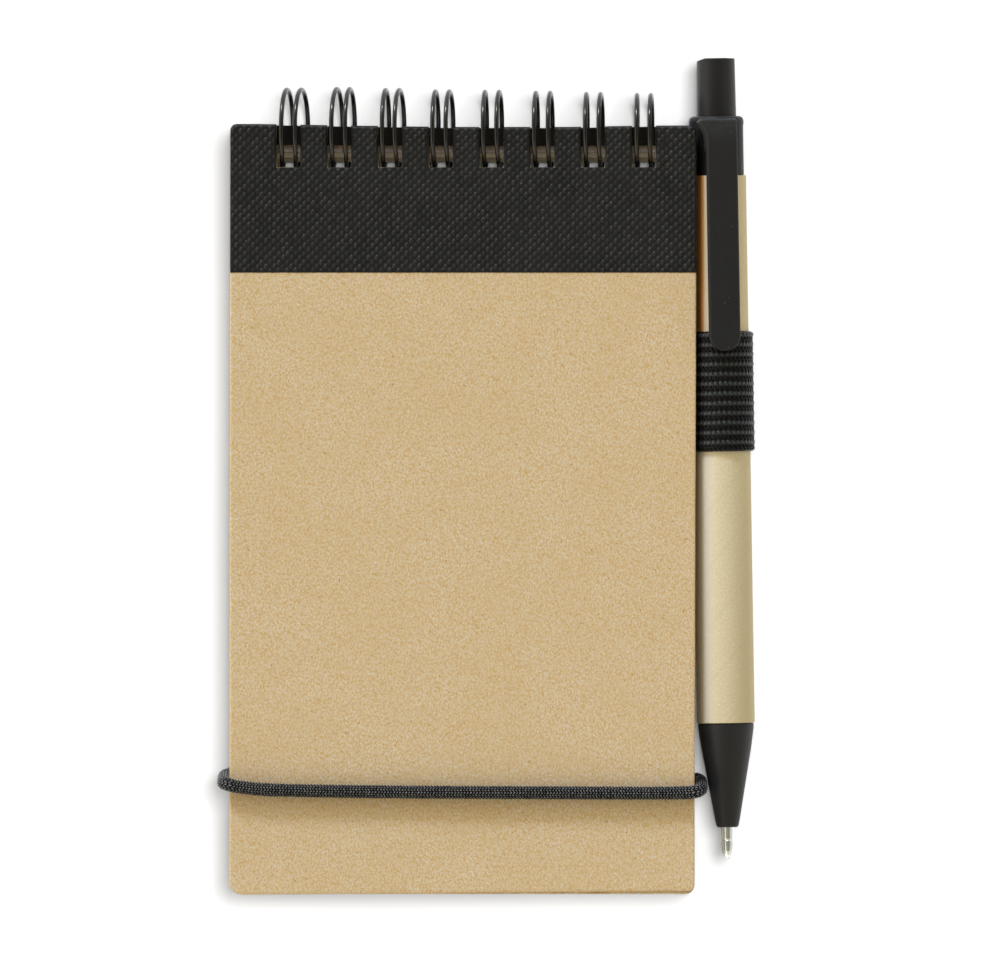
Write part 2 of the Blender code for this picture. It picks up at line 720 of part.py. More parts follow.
# ---- closure cord -----------------------------------------------------------
CORD_R = 1.0
CORD_SIDES = 10
CORD_LIFT = 1.25             # from a board's outer face to the cord's centre
CORD_SIDE_X = COVER_HALF_W + 1.1
CORD_FRONT_Z = PAD_T + CORD_LIFT
CORD_BACK_Z = -CORD_LIFT
CORD_BEND_R = 1.7            # round the boards' edges
CORD_HOLE_BEND_R = 1.3       # into the holes in the back board
CORD_LEAD = 4.0              # from a hole outwards to the last point on the straight run
CORD_END_Z = 0.62
CORD_JOIN_Y = {-1: -44.95, 1: -45.9}     # where front and back lengths meet at the edges
FRONT_JOIN_Z, BACK_JOIN_Z = 5.6, 5.45
FRONT_SHOULDER_Z, BACK_SHOULDER_Z = 8.5, 2.5
CORD_FRONT_RUN = (           # x, y across the front cover
    (-34.0, -46.35), (-27.0, -46.75), (-10.0, -46.95),
    (10.0, -47.05), (30.0, -47.15), (35.0, -47.1),
)
CORD_FRONT_ORIGIN = (0.0, -47.0, CORD_FRONT_Z)


def cord_bend(x_centre, z_centre, radius, degrees, y_ends, steps=4):
    """Quarter bend in the XZ plane, drifting in Y."""
    y_start, y_end = y_ends
    return [
        (x, y_start + (y_end - y_start) * i / steps, z)
        for i, (x, z) in enumerate(arc(x_centre, z_centre, radius, *degrees, steps))
    ]


def cord_front():
    bend_x, bend_z = CORD_SIDE_X - CORD_BEND_R, CORD_FRONT_Z - CORD_BEND_R
    path = [(-CORD_SIDE_X, CORD_JOIN_Y[-1], FRONT_JOIN_Z), (-CORD_SIDE_X, -45.5, FRONT_SHOULDER_Z)]
    path += cord_bend(-bend_x, bend_z, CORD_BEND_R, (180, 90), (-45.75, -46.05))
    path += [(x, y, CORD_FRONT_Z) for x, y in CORD_FRONT_RUN]
    path += cord_bend(bend_x, bend_z, CORD_BEND_R, (90, 0), (-47.0, -46.7))
    path += [(CORD_SIDE_X, -46.4, FRONT_SHOULDER_Z), (CORD_SIDE_X, CORD_JOIN_Y[1], FRONT_JOIN_Z)]
    cord = tube(path, CORD_R, CORD_SIDES)
    add_piece("cord_front", cord, ELASTIC, CORD_FRONT_ORIGIN, smooth=True)


def cord_back(side):
    """From the join at the edge, behind the back board and into its hole."""
    x, y_join = side * CORD_SIDE_X, CORD_JOIN_Y[side]
    hole_x, y = side * CORD_HOLE_X, CORD_HOLE_Y[side]
    path = [(x, y_join, BACK_JOIN_Z), (x, (y_join + y) / 2, BACK_SHOULDER_Z)]
    path += cord_bend(
        x - side * CORD_BEND_R, CORD_BACK_Z + CORD_BEND_R, CORD_BEND_R,
        (90 - 90 * side, 90 - 180 * side), (y, y),
    )
    path += [(hole_x + side * CORD_LEAD, y, CORD_BACK_Z)]
    path += cord_bend(
        hole_x + side * CORD_HOLE_BEND_R, CORD_BACK_Z + CORD_HOLE_BEND_R, CORD_HOLE_BEND_R,
        (270, 270 - 90 * side), (y, y), steps=3,
    )
    path += [(hole_x, y, CORD_END_Z)]
    cord = tube(path, CORD_R, CORD_SIDES)
    add_piece("cord_back_" + SIDE_NAMES[side], cord, ELASTIC, smooth=True)


# ---- build ------------------------------------------------------------------
front_cover()
back_cover()
page_stack()
binding_wire()
pen()
pen_loop()
cord_front()
for cord_side in SIDE_NAMES:
    cord_back(cord_side)
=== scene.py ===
"""Looks for the top-bound pocket notebook: kraft boards with embossed black spine strips,
a twin-loop wire, loose sheets, a braided elastic closure and a push-button pen in a woven loop.

It lies on its back. Lengths are millimetres in the frame's axes: X right, Y up to the wire,
Z out of the front cover. MM turns them into metres. Every piece but the braided closure
rides on the CAD body it belongs to.
"""

import math

import bmesh
import bpy
import numpy as np
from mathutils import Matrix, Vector
from mathutils.geometry import tessellate_polygon


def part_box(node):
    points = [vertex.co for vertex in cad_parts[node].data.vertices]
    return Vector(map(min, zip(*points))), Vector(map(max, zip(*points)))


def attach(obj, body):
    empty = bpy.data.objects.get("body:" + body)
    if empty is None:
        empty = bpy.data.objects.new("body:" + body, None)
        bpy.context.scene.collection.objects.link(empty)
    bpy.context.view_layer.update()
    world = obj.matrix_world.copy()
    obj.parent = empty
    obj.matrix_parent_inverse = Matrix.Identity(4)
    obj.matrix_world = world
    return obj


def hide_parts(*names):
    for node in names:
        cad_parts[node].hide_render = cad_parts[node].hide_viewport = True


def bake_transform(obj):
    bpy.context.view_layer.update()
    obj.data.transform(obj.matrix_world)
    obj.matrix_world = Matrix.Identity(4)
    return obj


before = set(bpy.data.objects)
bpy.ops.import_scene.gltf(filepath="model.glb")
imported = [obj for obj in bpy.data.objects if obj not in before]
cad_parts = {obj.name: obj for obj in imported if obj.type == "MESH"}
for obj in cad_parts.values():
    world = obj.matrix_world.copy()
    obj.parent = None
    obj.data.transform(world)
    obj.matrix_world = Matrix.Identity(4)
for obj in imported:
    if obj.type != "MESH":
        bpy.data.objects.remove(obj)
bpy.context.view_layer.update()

MM = 0.001
TAU = 2 * math.pi


def box_mm(node):
    """A CAD node's box in millimetres."""
    low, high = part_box(node)
    return np.array(low) * 1000, np.array(high) * 1000


# ---- sizes shared by several pieces ----------------------------------------------------
BACK_LOW, BACK_HIGH = box_mm("back_board")
FRONT_LOW, FRONT_HIGH = box_mm("front_board")
HALF_WIDTH, COVER_TOP, PAD_TOP = FRONT_HIGH      # 38.75, 64.2, 11.0
FRONT_BOTTOM, FRONT_INSIDE = FRONT_LOW[1:]       # -63.6, 9.5
BACK_BOTTOM = BACK_LOW[1]                        # -64.2
BOARD_T = BACK_HIGH[2] - BACK_LOW[2]             # 1.5

HOLES, HOLE_PITCH, FIRST_HOLE_X, HOLE_WIDTH = 8, 8.467, -29.0, 4.0
SLOT_BOTTOM, LINING_HOLE_TOP = 57.11, 60.86
BACK_SHIFT, PAGE_SHIFT = 0.30, 0.15     # the punched rows' offsets in X from the front's

PEN_X, PEN_Z = 43.42, 5.5               # the pen's axis at Y = 0


# ============================================================================
# Numbers and noise
# ============================================================================
def ease(start, end, value):
    """Smooth 0..1 step from start to end; start may be the larger."""
    t = np.clip((np.asarray(value, float) - start) / (end - start), 0.0, 1.0)
    return t * t * (3 - 2 * t)


def rolloff(distance, radius):
    """How far an edge rounded to the radius has fallen, at a distance in from the edge."""
    rest = radius - np.clip(distance, 0, radius)
    return radius - np.sqrt(np.maximum(radius * radius - rest**2, 0))


def hash01(*integers):
    """Repeatable pseudo-random values in 0..1 for integer arrays."""
    bits = np.zeros(np.broadcast(*integers).shape, np.uint64)
    for i, values in enumerate(np.broadcast_arrays(*integers)):
        factor = np.uint64((0x9E3779B97F4A7C15 + 2 * i * 0x632BE59BD9B4E019) & 0xFFFFFFFFFFFFFFFF)
        bits = bits ^ (values.astype(np.int64).astype(np.uint64) * factor)
        bits = bits ^ (bits >> np.uint64(31))
        bits = bits * np.uint64(0xBF58476D1CE4E5B9)
        bits = bits ^ (bits >> np.uint64(27))
    return (bits >> np.uint64(40)).astype(float) / float(1 << 24)


def noise2(x, y, seed):
    """Smooth value noise, about -1..1, one cell per unit."""
    column, row = np.floor(x), np.floor(y)
    right, up = ease(0, 1, x - column), ease(0, 1, y - row)
    h00, h10, h01, h11 = (
        hash01(column + i, row + j, seed) for i, j in ((0, 0), (1, 0), (0, 1), (1, 1))
    )
    return 2 * (h00 + (h10 - h00) * right + (h01 - h00) * up
                + (h00 - h10 - h01 + h11) * right * up) - 1


# ============================================================================
# Mesh helpers
# ============================================================================
def piece(name, points, faces, material, body, nodes, slot, sharp=42.0):
    """One object from millimetre points, riding on a CAD body in place of CAD nodes."""
    mesh = bpy.data.meshes.new(name)
    mesh.from_pydata((np.asarray(points, float) * MM).tolist(), [], faces)
    work = bmesh.new()
    work.from_mesh(mesh)
    bmesh.ops.recalc_face_normals(work, faces=work.faces)
    if work.calc_volume(signed=True) < 0:
        bmesh.ops.reverse_faces(work, faces=work.faces)
    work.to_mesh(mesh)
    work.free()
    mesh.materials.append(material)
    mesh.shade_smooth()
    if sharp is not None:
        mesh.set_sharp_from_angle(angle=math.radians(sharp))
    obj = bpy.data.objects.new(name, mesh)
    bpy.context.scene.collection.objects.link(obj)
    if body:
        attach(obj, body)
    if nodes:
        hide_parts(*nodes)
    return obj


def relief(obj, values):
    """Stores the first vertices' height in their pattern, for the finish to tell crest
    from groove; the remaining vertices get 0."""
    mesh = obj.data
    full = np.zeros(len(mesh.vertices), np.float32)
    full[: np.size(values)] = np.ravel(values)
    mesh.attributes.new("relief", "FLOAT", "POINT").data.foreach_set("value", full)


def join(parts):
    """Several (points, faces) as one."""
    points, faces, base = [], [], 0
    for part_points, part_faces in parts:
        points.append(part_points)
        faces += [tuple(i + base for i in face) for face in part_faces]
        base += len(part_points)
    return np.concatenate(points), faces


FLIP = [0, 3, 2, 1]     # turns a quad over and keeps its first corner


def grid_faces(index):
    """Quads of a 2D array of point indices, as an array (row, column, corner)."""
    return np.stack([index[:-1, :-1], index[1:, :-1], index[1:, 1:], index[:-1, 1:]], -1)


def double_sheet(index, offset):
    """Quads of a grid and of its facing copy, whose indices are larger by the offset."""
    quads = grid_faces(index).reshape(-1, 4)
    return quads.tolist() + (quads[:, FLIP] + offset).tolist()


def rim_faces(ring, other):
    """Quads joining two closed loops of point indices."""
    return np.column_stack([ring, other, np.roll(other, -1), np.roll(ring, -1)])


def ring_faces(rings, sides):
    """Quads joining successive closed rings of points."""
    i, k = np.meshgrid(np.arange(rings - 1), np.arange(sides), indexing="ij")
    here, after = i * sides + k, i * sides + (k + 1) % sides
    return np.stack([here, after, after + sides, here + sides], -1).reshape(-1, 4)


def capped_faces(rings, sides):
    last = (rings - 1) * sides
    ends = [list(range(sides))[::-1], list(range(last, last + sides))]
    return ring_faces(rings, sides).tolist() + ends


def flat_faces(points, loops):
    """Triangles filling XY loops of point indices: the outer one, then the holes."""
    index = [i for loop in loops for i in loop]
    triangles = tessellate_polygon(
        [[Vector((points[i][0], points[i][1], 0.0)) for i in loop] for loop in loops]
    )
    return [tuple(index[i] for i in triangle) for triangle in triangles]


def arc(x, y, radius, start, end, steps):
    angle = np.radians(np.linspace(start, end, steps + 1))
    return np.column_stack([x + radius * np.cos(angle), y + radius * np.sin(angle)])


def corner_arcs(left, right, bottom, top, radii, steps):
    """Counter-clockwise corner arcs; radii run from bottom-left round to top-left."""
    centres = ((left, 1, bottom, 1), (right, -1, bottom, 1), (right, -1, top, -1), (left, 1, top, -1))
    return [
        arc(x + x_sign * radius, y + y_sign * radius, radius, start, start + 90, steps)
        for (x, x_sign, y, y_sign), radius, start in zip(centres, radii, (180, 270, 0, 90))
    ]


def outline(left, right, bottom, top, radii, notches=(), steps=8):
    """Counter-clockwise outline; notches (left, right) run down from the top to SLOT_BOTTOM."""
    *arcs, last_arc = corner_arcs(left, right, bottom, top, radii, steps)
    radius = 0.22
    low = SLOT_BOTTOM + radius
    for start, end in sorted(notches, reverse=True):
        arcs.append(arc(end + radius, top - radius, radius, 90, 180, 4))
        arcs.append(arc(end - radius, low, radius, 0, -90, 4))
        arcs.append(arc(start + radius, low, radius, -90, -180, 4))
        arcs.append(arc(start - radius, top - radius, radius, 0, 90, 4))
    return densify(np.concatenate(arcs + [last_arc]), longest=4.0)


def densify(loop, longest):
    """Adds points so that no side of the loop is longer than this."""
    out = []
    for i, point in enumerate(loop):
        after = loop[(i + 1) % len(loop)]
        parts = max(1, int(math.ceil(np.linalg.norm(after - point) / longest)))
        out += [point + (after - point) * j / parts for j in range(parts)]
    return np.array(out)


def slot_loop(left, right, bottom, top, radius):
    """Clockwise loop of a punched hole."""
    return np.concatenate(corner_arcs(left, right, bottom, top, [radius] * 4, 4))[::-1]


def inset(loop, depth):
    """The loop moved to its left-hand side (into the material)."""
    normals = []
    for edge in (loop - np.roll(loop, 1, 0), np.roll(loop, -1, 0) - loop):
        edge /= np.linalg.norm(edge, axis=1)[:, None] + 1e-12
        normals.append(np.column_stack([-edge[:, 1], edge[:, 0]]))
    before, after = normals
    spread = np.maximum(1 + (before * after).sum(1), 0.5)
    return loop + np.reshape(depth, (-1, 1)) * (before + after) / spread[:, None]


def soft_plate(loops, z_low, z_high, radius, steps=4, lip=0.3, warp=None, ripple=None):
    """Closed plate with rounded edges, from an outer loop and clockwise hole loops.

    The lip is a flat border inside each rounding. warp(points) moves the outline;
    ripple(x, y, z) pushes the side walls outwards."""
    turn = np.radians(np.linspace(0, 90, steps + 1))
    wall = z_high - z_low - 2 * radius
    levels = max(2, int(wall / 0.25))
    # (depth into the material, z)
    profile = [(radius + lip, z_low), (radius, z_low)]
    profile += [
        (radius - radius * math.sin(a), z_low + radius - radius * math.cos(a)) for a in turn[1:]
    ]
    profile += [(0.0, z_low + radius + wall * j / levels) for j in range(1, levels)]
    profile += [
        (radius - radius * math.cos(a), z_high - radius + radius * math.sin(a)) for a in turn
    ]
    profile += [(radius + lip, z_high)]
    points, faces, bottoms, tops, base = [], [], [], [], 0
    for loop in loops:
        count = len(loop)
        for depth, z in profile:
            flat = inset(loop, depth)
            if ripple is not None and depth < 1e-6:
                flat = inset(flat, -ripple(flat[:, 0], flat[:, 1], z))
            if warp is not None:
                flat = warp(flat)
            points.append(np.column_stack([flat, np.full(count, z)]))
        faces += (ring_faces(len(profile), count) + base).tolist()
        bottoms.append(range(base, base + count))
        base += len(profile) * count
        tops.append(range(base - count, base))
    points = np.concatenate(points)
    return points, faces + flat_faces(points, bottoms) + flat_faces(points, tops)


def tube(path, radius, sides):
    """Closed tube; radius is one number, one per ring, or one per ring and side."""
    path = np.asarray(path, float)
    tangent = np.gradient(path, axis=0)
    tangent /= np.linalg.norm(tangent, axis=1)[:, None]
    across = np.zeros_like(path)
    current = np.array([1.0, 0, 0]) if abs(tangent[0][0]) < 0.8 else np.array([0, 0, 1.0])
    for i, direction in enumerate(tangent):
        current = current - direction * (current @ direction)
        current = current / np.linalg.norm(current)
        across[i] = current
    upward = np.cross(tangent, across)
    angle = TAU * np.arange(sides) / sides
    radius = np.asarray(radius, float)
    if radius.ndim == 1:
        radius = radius[:, None]
    radius = np.broadcast_to(radius, (len(path), sides))
    points = path[:, None, :] + radius[:, :, None] * (
        np.cos(angle)[None, :, None] * across[:, None, :]
        + np.sin(angle)[None, :, None] * upward[:, None, :]
    )
    return points.reshape(-1, 3), capped_faces(len(path), sides)


def resample(path, spacing):
    """A Catmull-Rom curve through the points, at even spacing, and its arc lengths."""
    path = np.asarray(path, float)
    padded = np.concatenate([[2 * path[0] - path[1]], path, [2 * path[-1] - path[-2]]])
    dense = []
    for i in range(1, len(padded) - 2):
        layer = padded[i - 1 : i + 3]
        # centripetal knots keep sharp bends free of loops
        knots = [0.0]
        for start, end in zip(layer, layer[1:]):
            knots.append(knots[-1] + max(np.linalg.norm(end - start), 1e-6) ** 0.5)
        t = np.linspace(knots[1], knots[2], 25)[:-1, None]
        for spans in (((0, 1), (1, 2), (2, 3)), ((0, 2), (1, 3)), ((1, 2),)):
            layer = [
                (knots[k] - t) / (knots[k] - knots[j]) * layer[n]
                + (t - knots[j]) / (knots[k] - knots[j]) * layer[n + 1]
                for n, (j, k) in enumerate(spans)
            ]
        dense.append(layer[0])
    dense = np.concatenate(dense + [path[-1:]])
    length = np.concatenate([[0], np.cumsum(np.linalg.norm(np.diff(dense, axis=0), axis=1))])
    count = max(2, int(round(length[-1] / spacing)) + 1)
    stations = np.linspace(0, length[-1], count)
    return np.column_stack([np.interp(stations, length, dense[:, k]) for k in range(3)]), stations


# ============================================================================
# Material tools
# ============================================================================
def srgb(*levels):
    """Linear colour from 0..255 display values."""
    shares = [level / 255.0 for level in levels]
    return tuple(c / 12.92 if c <= 0.04045 else ((c + 0.055) / 1.055) ** 2.4 for c in shares)


def set_input(tree, socket, value):
    """Links a socket, or sets a plain value; RGB colours get an alpha of 1."""
    if isinstance(value, bpy.types.NodeSocket):
        tree.links.new(value, socket)
    elif isinstance(value, tuple) and socket.type == "RGBA":
        socket.default_value = (*value, 1.0)
    else:
        socket.default_value = value


def add_node(tree, kind, inputs, **settings):
    node = tree.nodes.new("ShaderNode" + kind)
    for key, value in settings.items():
        setattr(node, key, value)
    for key, value in inputs.items():
        set_input(tree, node.inputs[key], value)
    return node


def map_range(tree, value, over, to, **settings):
    inputs = {"Value": value, "From Min": over[0], "From Max": over[1],
              "To Min": to[0], "To Max": to[1]}
    return add_node(tree, "MapRange", inputs, **settings).outputs[0]


class Shader:
    """A small node-tree writer: methods return the socket they made.

    `position` is the object position in millimetres, so texture scales are per millimetre.
    `base` is the base colour so far, which tint() paints over. Colours are 0..255 sRGB
    except in mix(), where they are linear."""

    def __init__(self, name):
        self.material = bpy.data.materials.new(name)
        self.material.use_nodes = True
        self.tree = self.material.node_tree
        place = self.node("TexCoord", {}).outputs["Object"]
        self.position = self.node("VectorMath", {0: place, "Scale": 1000.0}, operation="SCALE").outputs[0]

    def node(self, kind, inputs, **settings):
        return add_node(self.tree, kind, inputs, **settings)

    def stretch(self, scale, turn=0):
        """The position scaled per axis and turned about Z by degrees."""
        inputs = {"Vector": self.position, "Scale": scale, "Rotation": (0, 0, math.radians(turn))}
        return self.node("Mapping", inputs).outputs[0]

    def noise(self, scale, detail=2.0, rough=0.5, distortion=0.0, vector=None):
        inputs = {"Vector": vector or self.position, "Scale": scale, "Detail": detail,
                  "Roughness": rough, "Distortion": distortion}
        return self.node("TexNoise", inputs).outputs["Fac"]

    def voronoi(self, scale, output):
        return self.node("TexVoronoi", {"Vector": self.position, "Scale": scale}).outputs[output]

    def ramp(self, value, over, to=(0.0, 1.0)):
        """Smooth step of the value over one range, mapped to another."""
        return map_range(self.tree, value, over, to, interpolation_type="SMOOTHSTEP")

    def math(self, operation, first, second=0.0):
        return self.node("Math", {0: first, 1: second}, operation=operation).outputs[0]

    def times(self, first, second):
        return self.math("MULTIPLY", first, second)

    def mix(self, amount, first, second):
        return self.node("Mix", {0: amount, 6: first, 7: second}, data_type="RGBA").outputs[2]

    def shades(self, value, over, dark, light):
        return self.mix(self.ramp(value, over), srgb(*dark), srgb(*light))

    def tint(self, color, mask, over=None, to=(0.0, 1.0), amount=None):
        """Paints a colour over the base where the mask, or its ramp, is high."""
        if over is not None:
            mask = self.ramp(mask, over, to)
        if amount is not None:
            mask = self.times(mask, amount)
        self.base = self.mix(mask, self.base, srgb(*color))

    def specks(self, scale, size, keep):
        """Dots at cell centres, fading over the size range, in the cells past the keep range."""
        dots = self.ramp(self.voronoi(scale, "Distance"), size, (1.0, 0.0))
        return self.times(dots, self.ramp(self.voronoi(scale, "Color"), keep))

    def fibres(self, scale, distortion, width, middle=0.5, vector=None):
        """Curled lines: the narrow middle band of a warped noise."""
        curl = self.noise(scale, detail=1.0, rough=0.4, distortion=distortion, vector=vector)
        off = self.math("ABSOLUTE", self.math("SUBTRACT", curl, middle))
        return self.ramp(off, (0.0, width), (1.0, 0.0))

    def attribute(self, name):
        return self.node("Attribute", {}, attribute_name=name).outputs["Fac"]

    def axis(self, which, vector=None):
        return self.node("SeparateXYZ", {0: vector or self.position}).outputs[which]

    def bump(self, height, strength, depth):
        inputs = {"Height": height, "Strength": strength, "Distance": depth * MM}
        return self.node("Bump", inputs).outputs[0]

    def finish(self, rough, specular=0.5, **inputs):
        """Wires the shader up and returns the material."""
        inputs |= {"Base Color": self.base, "Roughness": rough, "Specular IOR Level": specular}
        shader = self.tree.nodes["Principled BSDF"]
        for key, value in inputs.items():
            set_input(self.tree, shader.inputs[key.replace("_", " ")], value)
        return self.material


# ============================================================================
# Materials
# ============================================================================
def kraft_material(name, layered=False):
    """Unbleached board: cloudy pulp, curled ochre and pale fibres, rare dark specks."""
    mat = Shader(name)
    tall = mat.stretch((1.25, 0.80, 1.0), turn=20)
    pulp = mat.noise(scale=3.1, detail=3.0, rough=0.62, distortion=0.6, vector=tall)
    mat.base = mat.shades(pulp, over=(0.34, 0.66), dark=(192, 151, 80), light=(212, 199, 175))
    mat.tint((214, 193, 156), mat.noise(scale=7.5, rough=0.6), over=(0.35, 0.66), amount=0.45)
    mat.tint((198, 168, 118), mat.noise(scale=0.09), over=(0.35, 0.65), to=(0.0, 0.22))
    ochre = mat.fibres(scale=1.45, distortion=1.7, width=0.022, vector=tall)
    where = mat.ramp(mat.noise(scale=0.8, detail=1.0), over=(0.50, 0.60))
    mat.tint((184, 134, 60), mat.times(ochre, where), amount=0.85)
    turned_place = mat.stretch((1, 1, 1), turn=50)
    pale = mat.fibres(scale=1.9, distortion=1.9, width=0.014, middle=0.52, vector=turned_place)
    patches = mat.noise(scale=0.9, detail=1.0, vector=mat.stretch((1.1, 1.1, 1.1), turn=20))
    pale = mat.times(pale, mat.ramp(patches, over=(0.53, 0.62)))
    mat.tint((232, 215, 184), pale, amount=0.55)
    specks = mat.specks(scale=0.62, size=(0.05, 0.10), keep=(0.62, 0.64))
    mat.tint((140, 98, 46), specks, amount=0.75)
    raised = mat.times(mat.times(ochre, where), 0.5)
    height = mat.math("ADD", mat.times(pulp, 0.8), raised)
    if layered:
        layers = mat.noise(scale=1.0, rough=0.6, vector=mat.stretch((0.25, 0.25, 9.0)))
        mat.tint((150, 114, 66), layers, over=(0.38, 0.66), to=(0.0, 0.6))
        height = mat.math("ADD", height, mat.times(layers, 1.5))
    return mat.finish(rough=0.86, Normal=mat.bump(height, strength=0.22, depth=0.035), specular=0.28)


def leather_material():
    """Black embossed covering: fine pores over the modelled pattern, with painted highlight on its crests
    and painted shade in its grooves.
    """
    mat = Shader("leatherette_black")
    grain = mat.noise(scale=9.0, detail=3.0, rough=0.65)
    crest = mat.attribute("relief")
    low = mat.shades(grain, over=(0.35, 0.75), dark=(9, 10, 11), light=(22, 23, 25))
    high = mat.shades(grain, over=(0.35, 0.75), dark=(17, 18, 19), light=(45, 46, 48))
    # painted light: the pattern's crests are painted paler and its grooves darker
    mat.base = mat.mix(mat.ramp(crest, over=(0.05, 0.75)), low, high)
    mat.tint((40, 40, 39), mat.noise(scale=0.22), over=(0.3, 0.7), to=(0.0, 0.25))
    dust = mat.specks(scale=0.42, size=(0.03, 0.06), keep=(0.66, 0.68))
    mat.tint((120, 118, 112), dust, amount=0.6)
    rough = mat.ramp(grain, over=(0.2, 0.8), to=(0.35, 0.55))
    return mat.finish(rough, Normal=mat.bump(grain, strength=0.8, depth=0.035), specular=0.29)


def lining_material():
    """Black felted paper with slanting threads."""
    mat = Shader("lining_black_paper")
    felt = mat.noise(scale=5.0, detail=3.0, rough=0.65)
    threads = mat.noise(scale=1.0, rough=0.6, vector=mat.stretch((0.6, 7.0, 7.0), turn=25))
    mat.base = mat.shades(felt, over=(0.3, 0.75), dark=(15, 13, 12), light=(27, 24, 22))
    mat.tint((38, 35, 32), threads, over=(0.6, 0.75), to=(0.0, 0.35))
    return mat.finish(rough=0.86, Normal=mat.bump(felt, strength=0.4, depth=0.03), specular=0.12)


def paint_slot_shade(mat):
    """Paints shade, brown-grey and mottled, on a loose sheet's upward face around its punched slots, where
    the cover's slots keep the light off.
    """
    shade_mottle = mat.noise(scale=1.6, detail=3.0, rough=0.6)
    from_first = mat.math("SUBTRACT", mat.axis("X"), FIRST_HOLE_X - HOLE_PITCH / 2)
    phase = mat.math("FRACT", mat.math("DIVIDE", from_first, HOLE_PITCH))
    edge = 0.5 * HOLE_WIDTH / HOLE_PITCH
    off_centre = mat.math("ABSOLUTE", mat.math("SUBTRACT", phase, 0.5))
    near = mat.ramp(off_centre, over=(edge, edge + 0.10), to=(1.0, 0.0))
    high = mat.ramp(mat.axis("Y"), over=(SLOT_BOTTOM - 0.2, SLOT_BOTTOM + 1.2))
    normal = mat.node("TexCoord", {}).outputs["Normal"]
    high = mat.times(high, mat.ramp(mat.axis("Z", normal), over=(0.2, 0.6)))
    # painted shade: brown-grey near the slots, only on upward faces
    slot_shade_colour = mat.shades(shade_mottle, over=(0.3, 0.7), dark=(112, 97, 86), light=(146, 133, 120))
    amount = mat.times(mat.times(near, high), 0.97)
    mat.base = mat.mix(amount, mat.base, slot_shade_colour)


def paper_material(name, shaded_slots=False):
    """Cream sheet with faint clouds, felt and fibres."""
    mat = Shader(name)
    felt = mat.noise(scale=4.5, detail=3.0, rough=0.6)
    mat.base = mat.shades(felt, over=(0.3, 0.7), dark=(224, 216, 199), light=(238, 231, 217))
    mat.tint((229, 221, 204), mat.noise(scale=0.35), over=(0.35, 0.65), to=(0.0, 0.3))
    mat.tint((190, 177, 150), mat.fibres(scale=1.3, distortion=1.8, width=0.01), amount=0.12)
    # the loose sheets get painted shade round their punched slots
    if shaded_slots:
        paint_slot_shade(mat)
    return mat.finish(rough=0.9, Normal=mat.bump(felt, strength=0.25, depth=0.02), specular=0.2)


def wire_material():
    """Glossy black coating with a slight orange peel."""
    mat = Shader("coated_wire_black")
    peel = mat.noise(scale=2.6)
    scuff = mat.noise(scale=1.0, detail=3.0, rough=0.6, vector=mat.stretch((3.0, 0.8, 0.8)))
    mat.base = mat.shades(peel, over=(0.3, 0.7), dark=(6, 6, 7), light=(13, 14, 15))
    rough = mat.ramp(scuff, over=(0.35, 0.7), to=(0.16, 0.26))
    return mat.finish(
        rough, Normal=mat.bump(peel, strength=0.25, depth=0.02), specular=0.46,
        Coat_Weight=0.08, Coat_Roughness=0.10,
    )


def yarn_material(name, dark, light, rough, painted_light, shine, fade_x=None):
    """Black yarn: filaments too fine to model, over modelled strands.

    painted_light is the relief range from groove to crest, over which the grooves get painted shade near
    black; shine is the specular at its middle and end; right of fade_x the shine fades."""
    mat = Shader(name)
    filament = mat.noise(scale=11.0, rough=0.6, distortion=0.5)
    mat.base = mat.shades(filament, over=(0.30, 0.75), dark=dark, light=light)
    tone = mat.noise(scale=1.1)
    mat.tint([level * 0.7 for level in dark], tone, over=(0.35, 0.7), to=(0.0, 0.3))
    # painted shade: the modelled grooves are darkened to near black
    mat.base = mat.mix(mat.ramp(mat.attribute("relief"), painted_light), srgb(5, 5, 5), mat.base)
    gloss = mat.ramp(mat.attribute("relief"), over=(0.5 * sum(painted_light), painted_light[1]), to=shine)
    if fade_x is not None:
        fade = mat.ramp(mat.axis("X"), over=(fade_x - 0.5, fade_x + 4.0), to=(1.0, 0.6))
        gloss = mat.times(gloss, fade)
    normal = mat.bump(filament, strength=0.5, depth=0.03)
    return mat.finish(rough, Normal=normal, specular=gloss, Sheen_Roughness=0.45)


def plastic_material(name, tone, rough, specular=0.4, scuffs=None, rim=None):
    """Moulded black plastic with a fine grain; tone is its grey level, scuffs the strength
    of pale specks, and over the rim's Y range a mottled painted highlight lightens it."""
    mat = Shader(name)
    grain = mat.noise(scale=14.0)
    flow = mat.noise(scale=0.5, vector=mat.stretch((3.0, 0.4, 3.0)))
    dark, light = (tone - 5, tone - 5, tone - 4), (tone + 3, tone + 3, tone + 4)
    mat.base = mat.shades(grain, over=(0.3, 0.7), dark=dark, light=light)
    mat.tint((tone + 5, tone + 5, tone + 5), flow, over=(0.35, 0.65), to=(0.0, 0.25))
    if rim is not None:
        # painted highlight: lighter and mottled over the rim's Y range
        painted_light = mat.ramp(mat.axis("Y"), over=rim)
        mottle = mat.noise(scale=1.6, detail=3.0, rough=0.6)
        painted_light = mat.times(painted_light, mat.ramp(mottle, over=(0.3, 0.75), to=(0.35, 1.0)))
        mat.tint((tone + 19, tone + 20, tone + 21), painted_light)
    if scuffs is not None:
        specks = mat.specks(scale=1.1, size=(0.06, 0.13), keep=(0.70, 0.74))
        mat.tint((104, 106, 108), specks, amount=scuffs)
    rough = mat.ramp(grain, over=(0.2, 0.8), to=(rough - 0.05, rough + 0.08))
    return mat.finish(rough, Normal=mat.bump(grain, strength=0.22, depth=0.012), specular=specular)


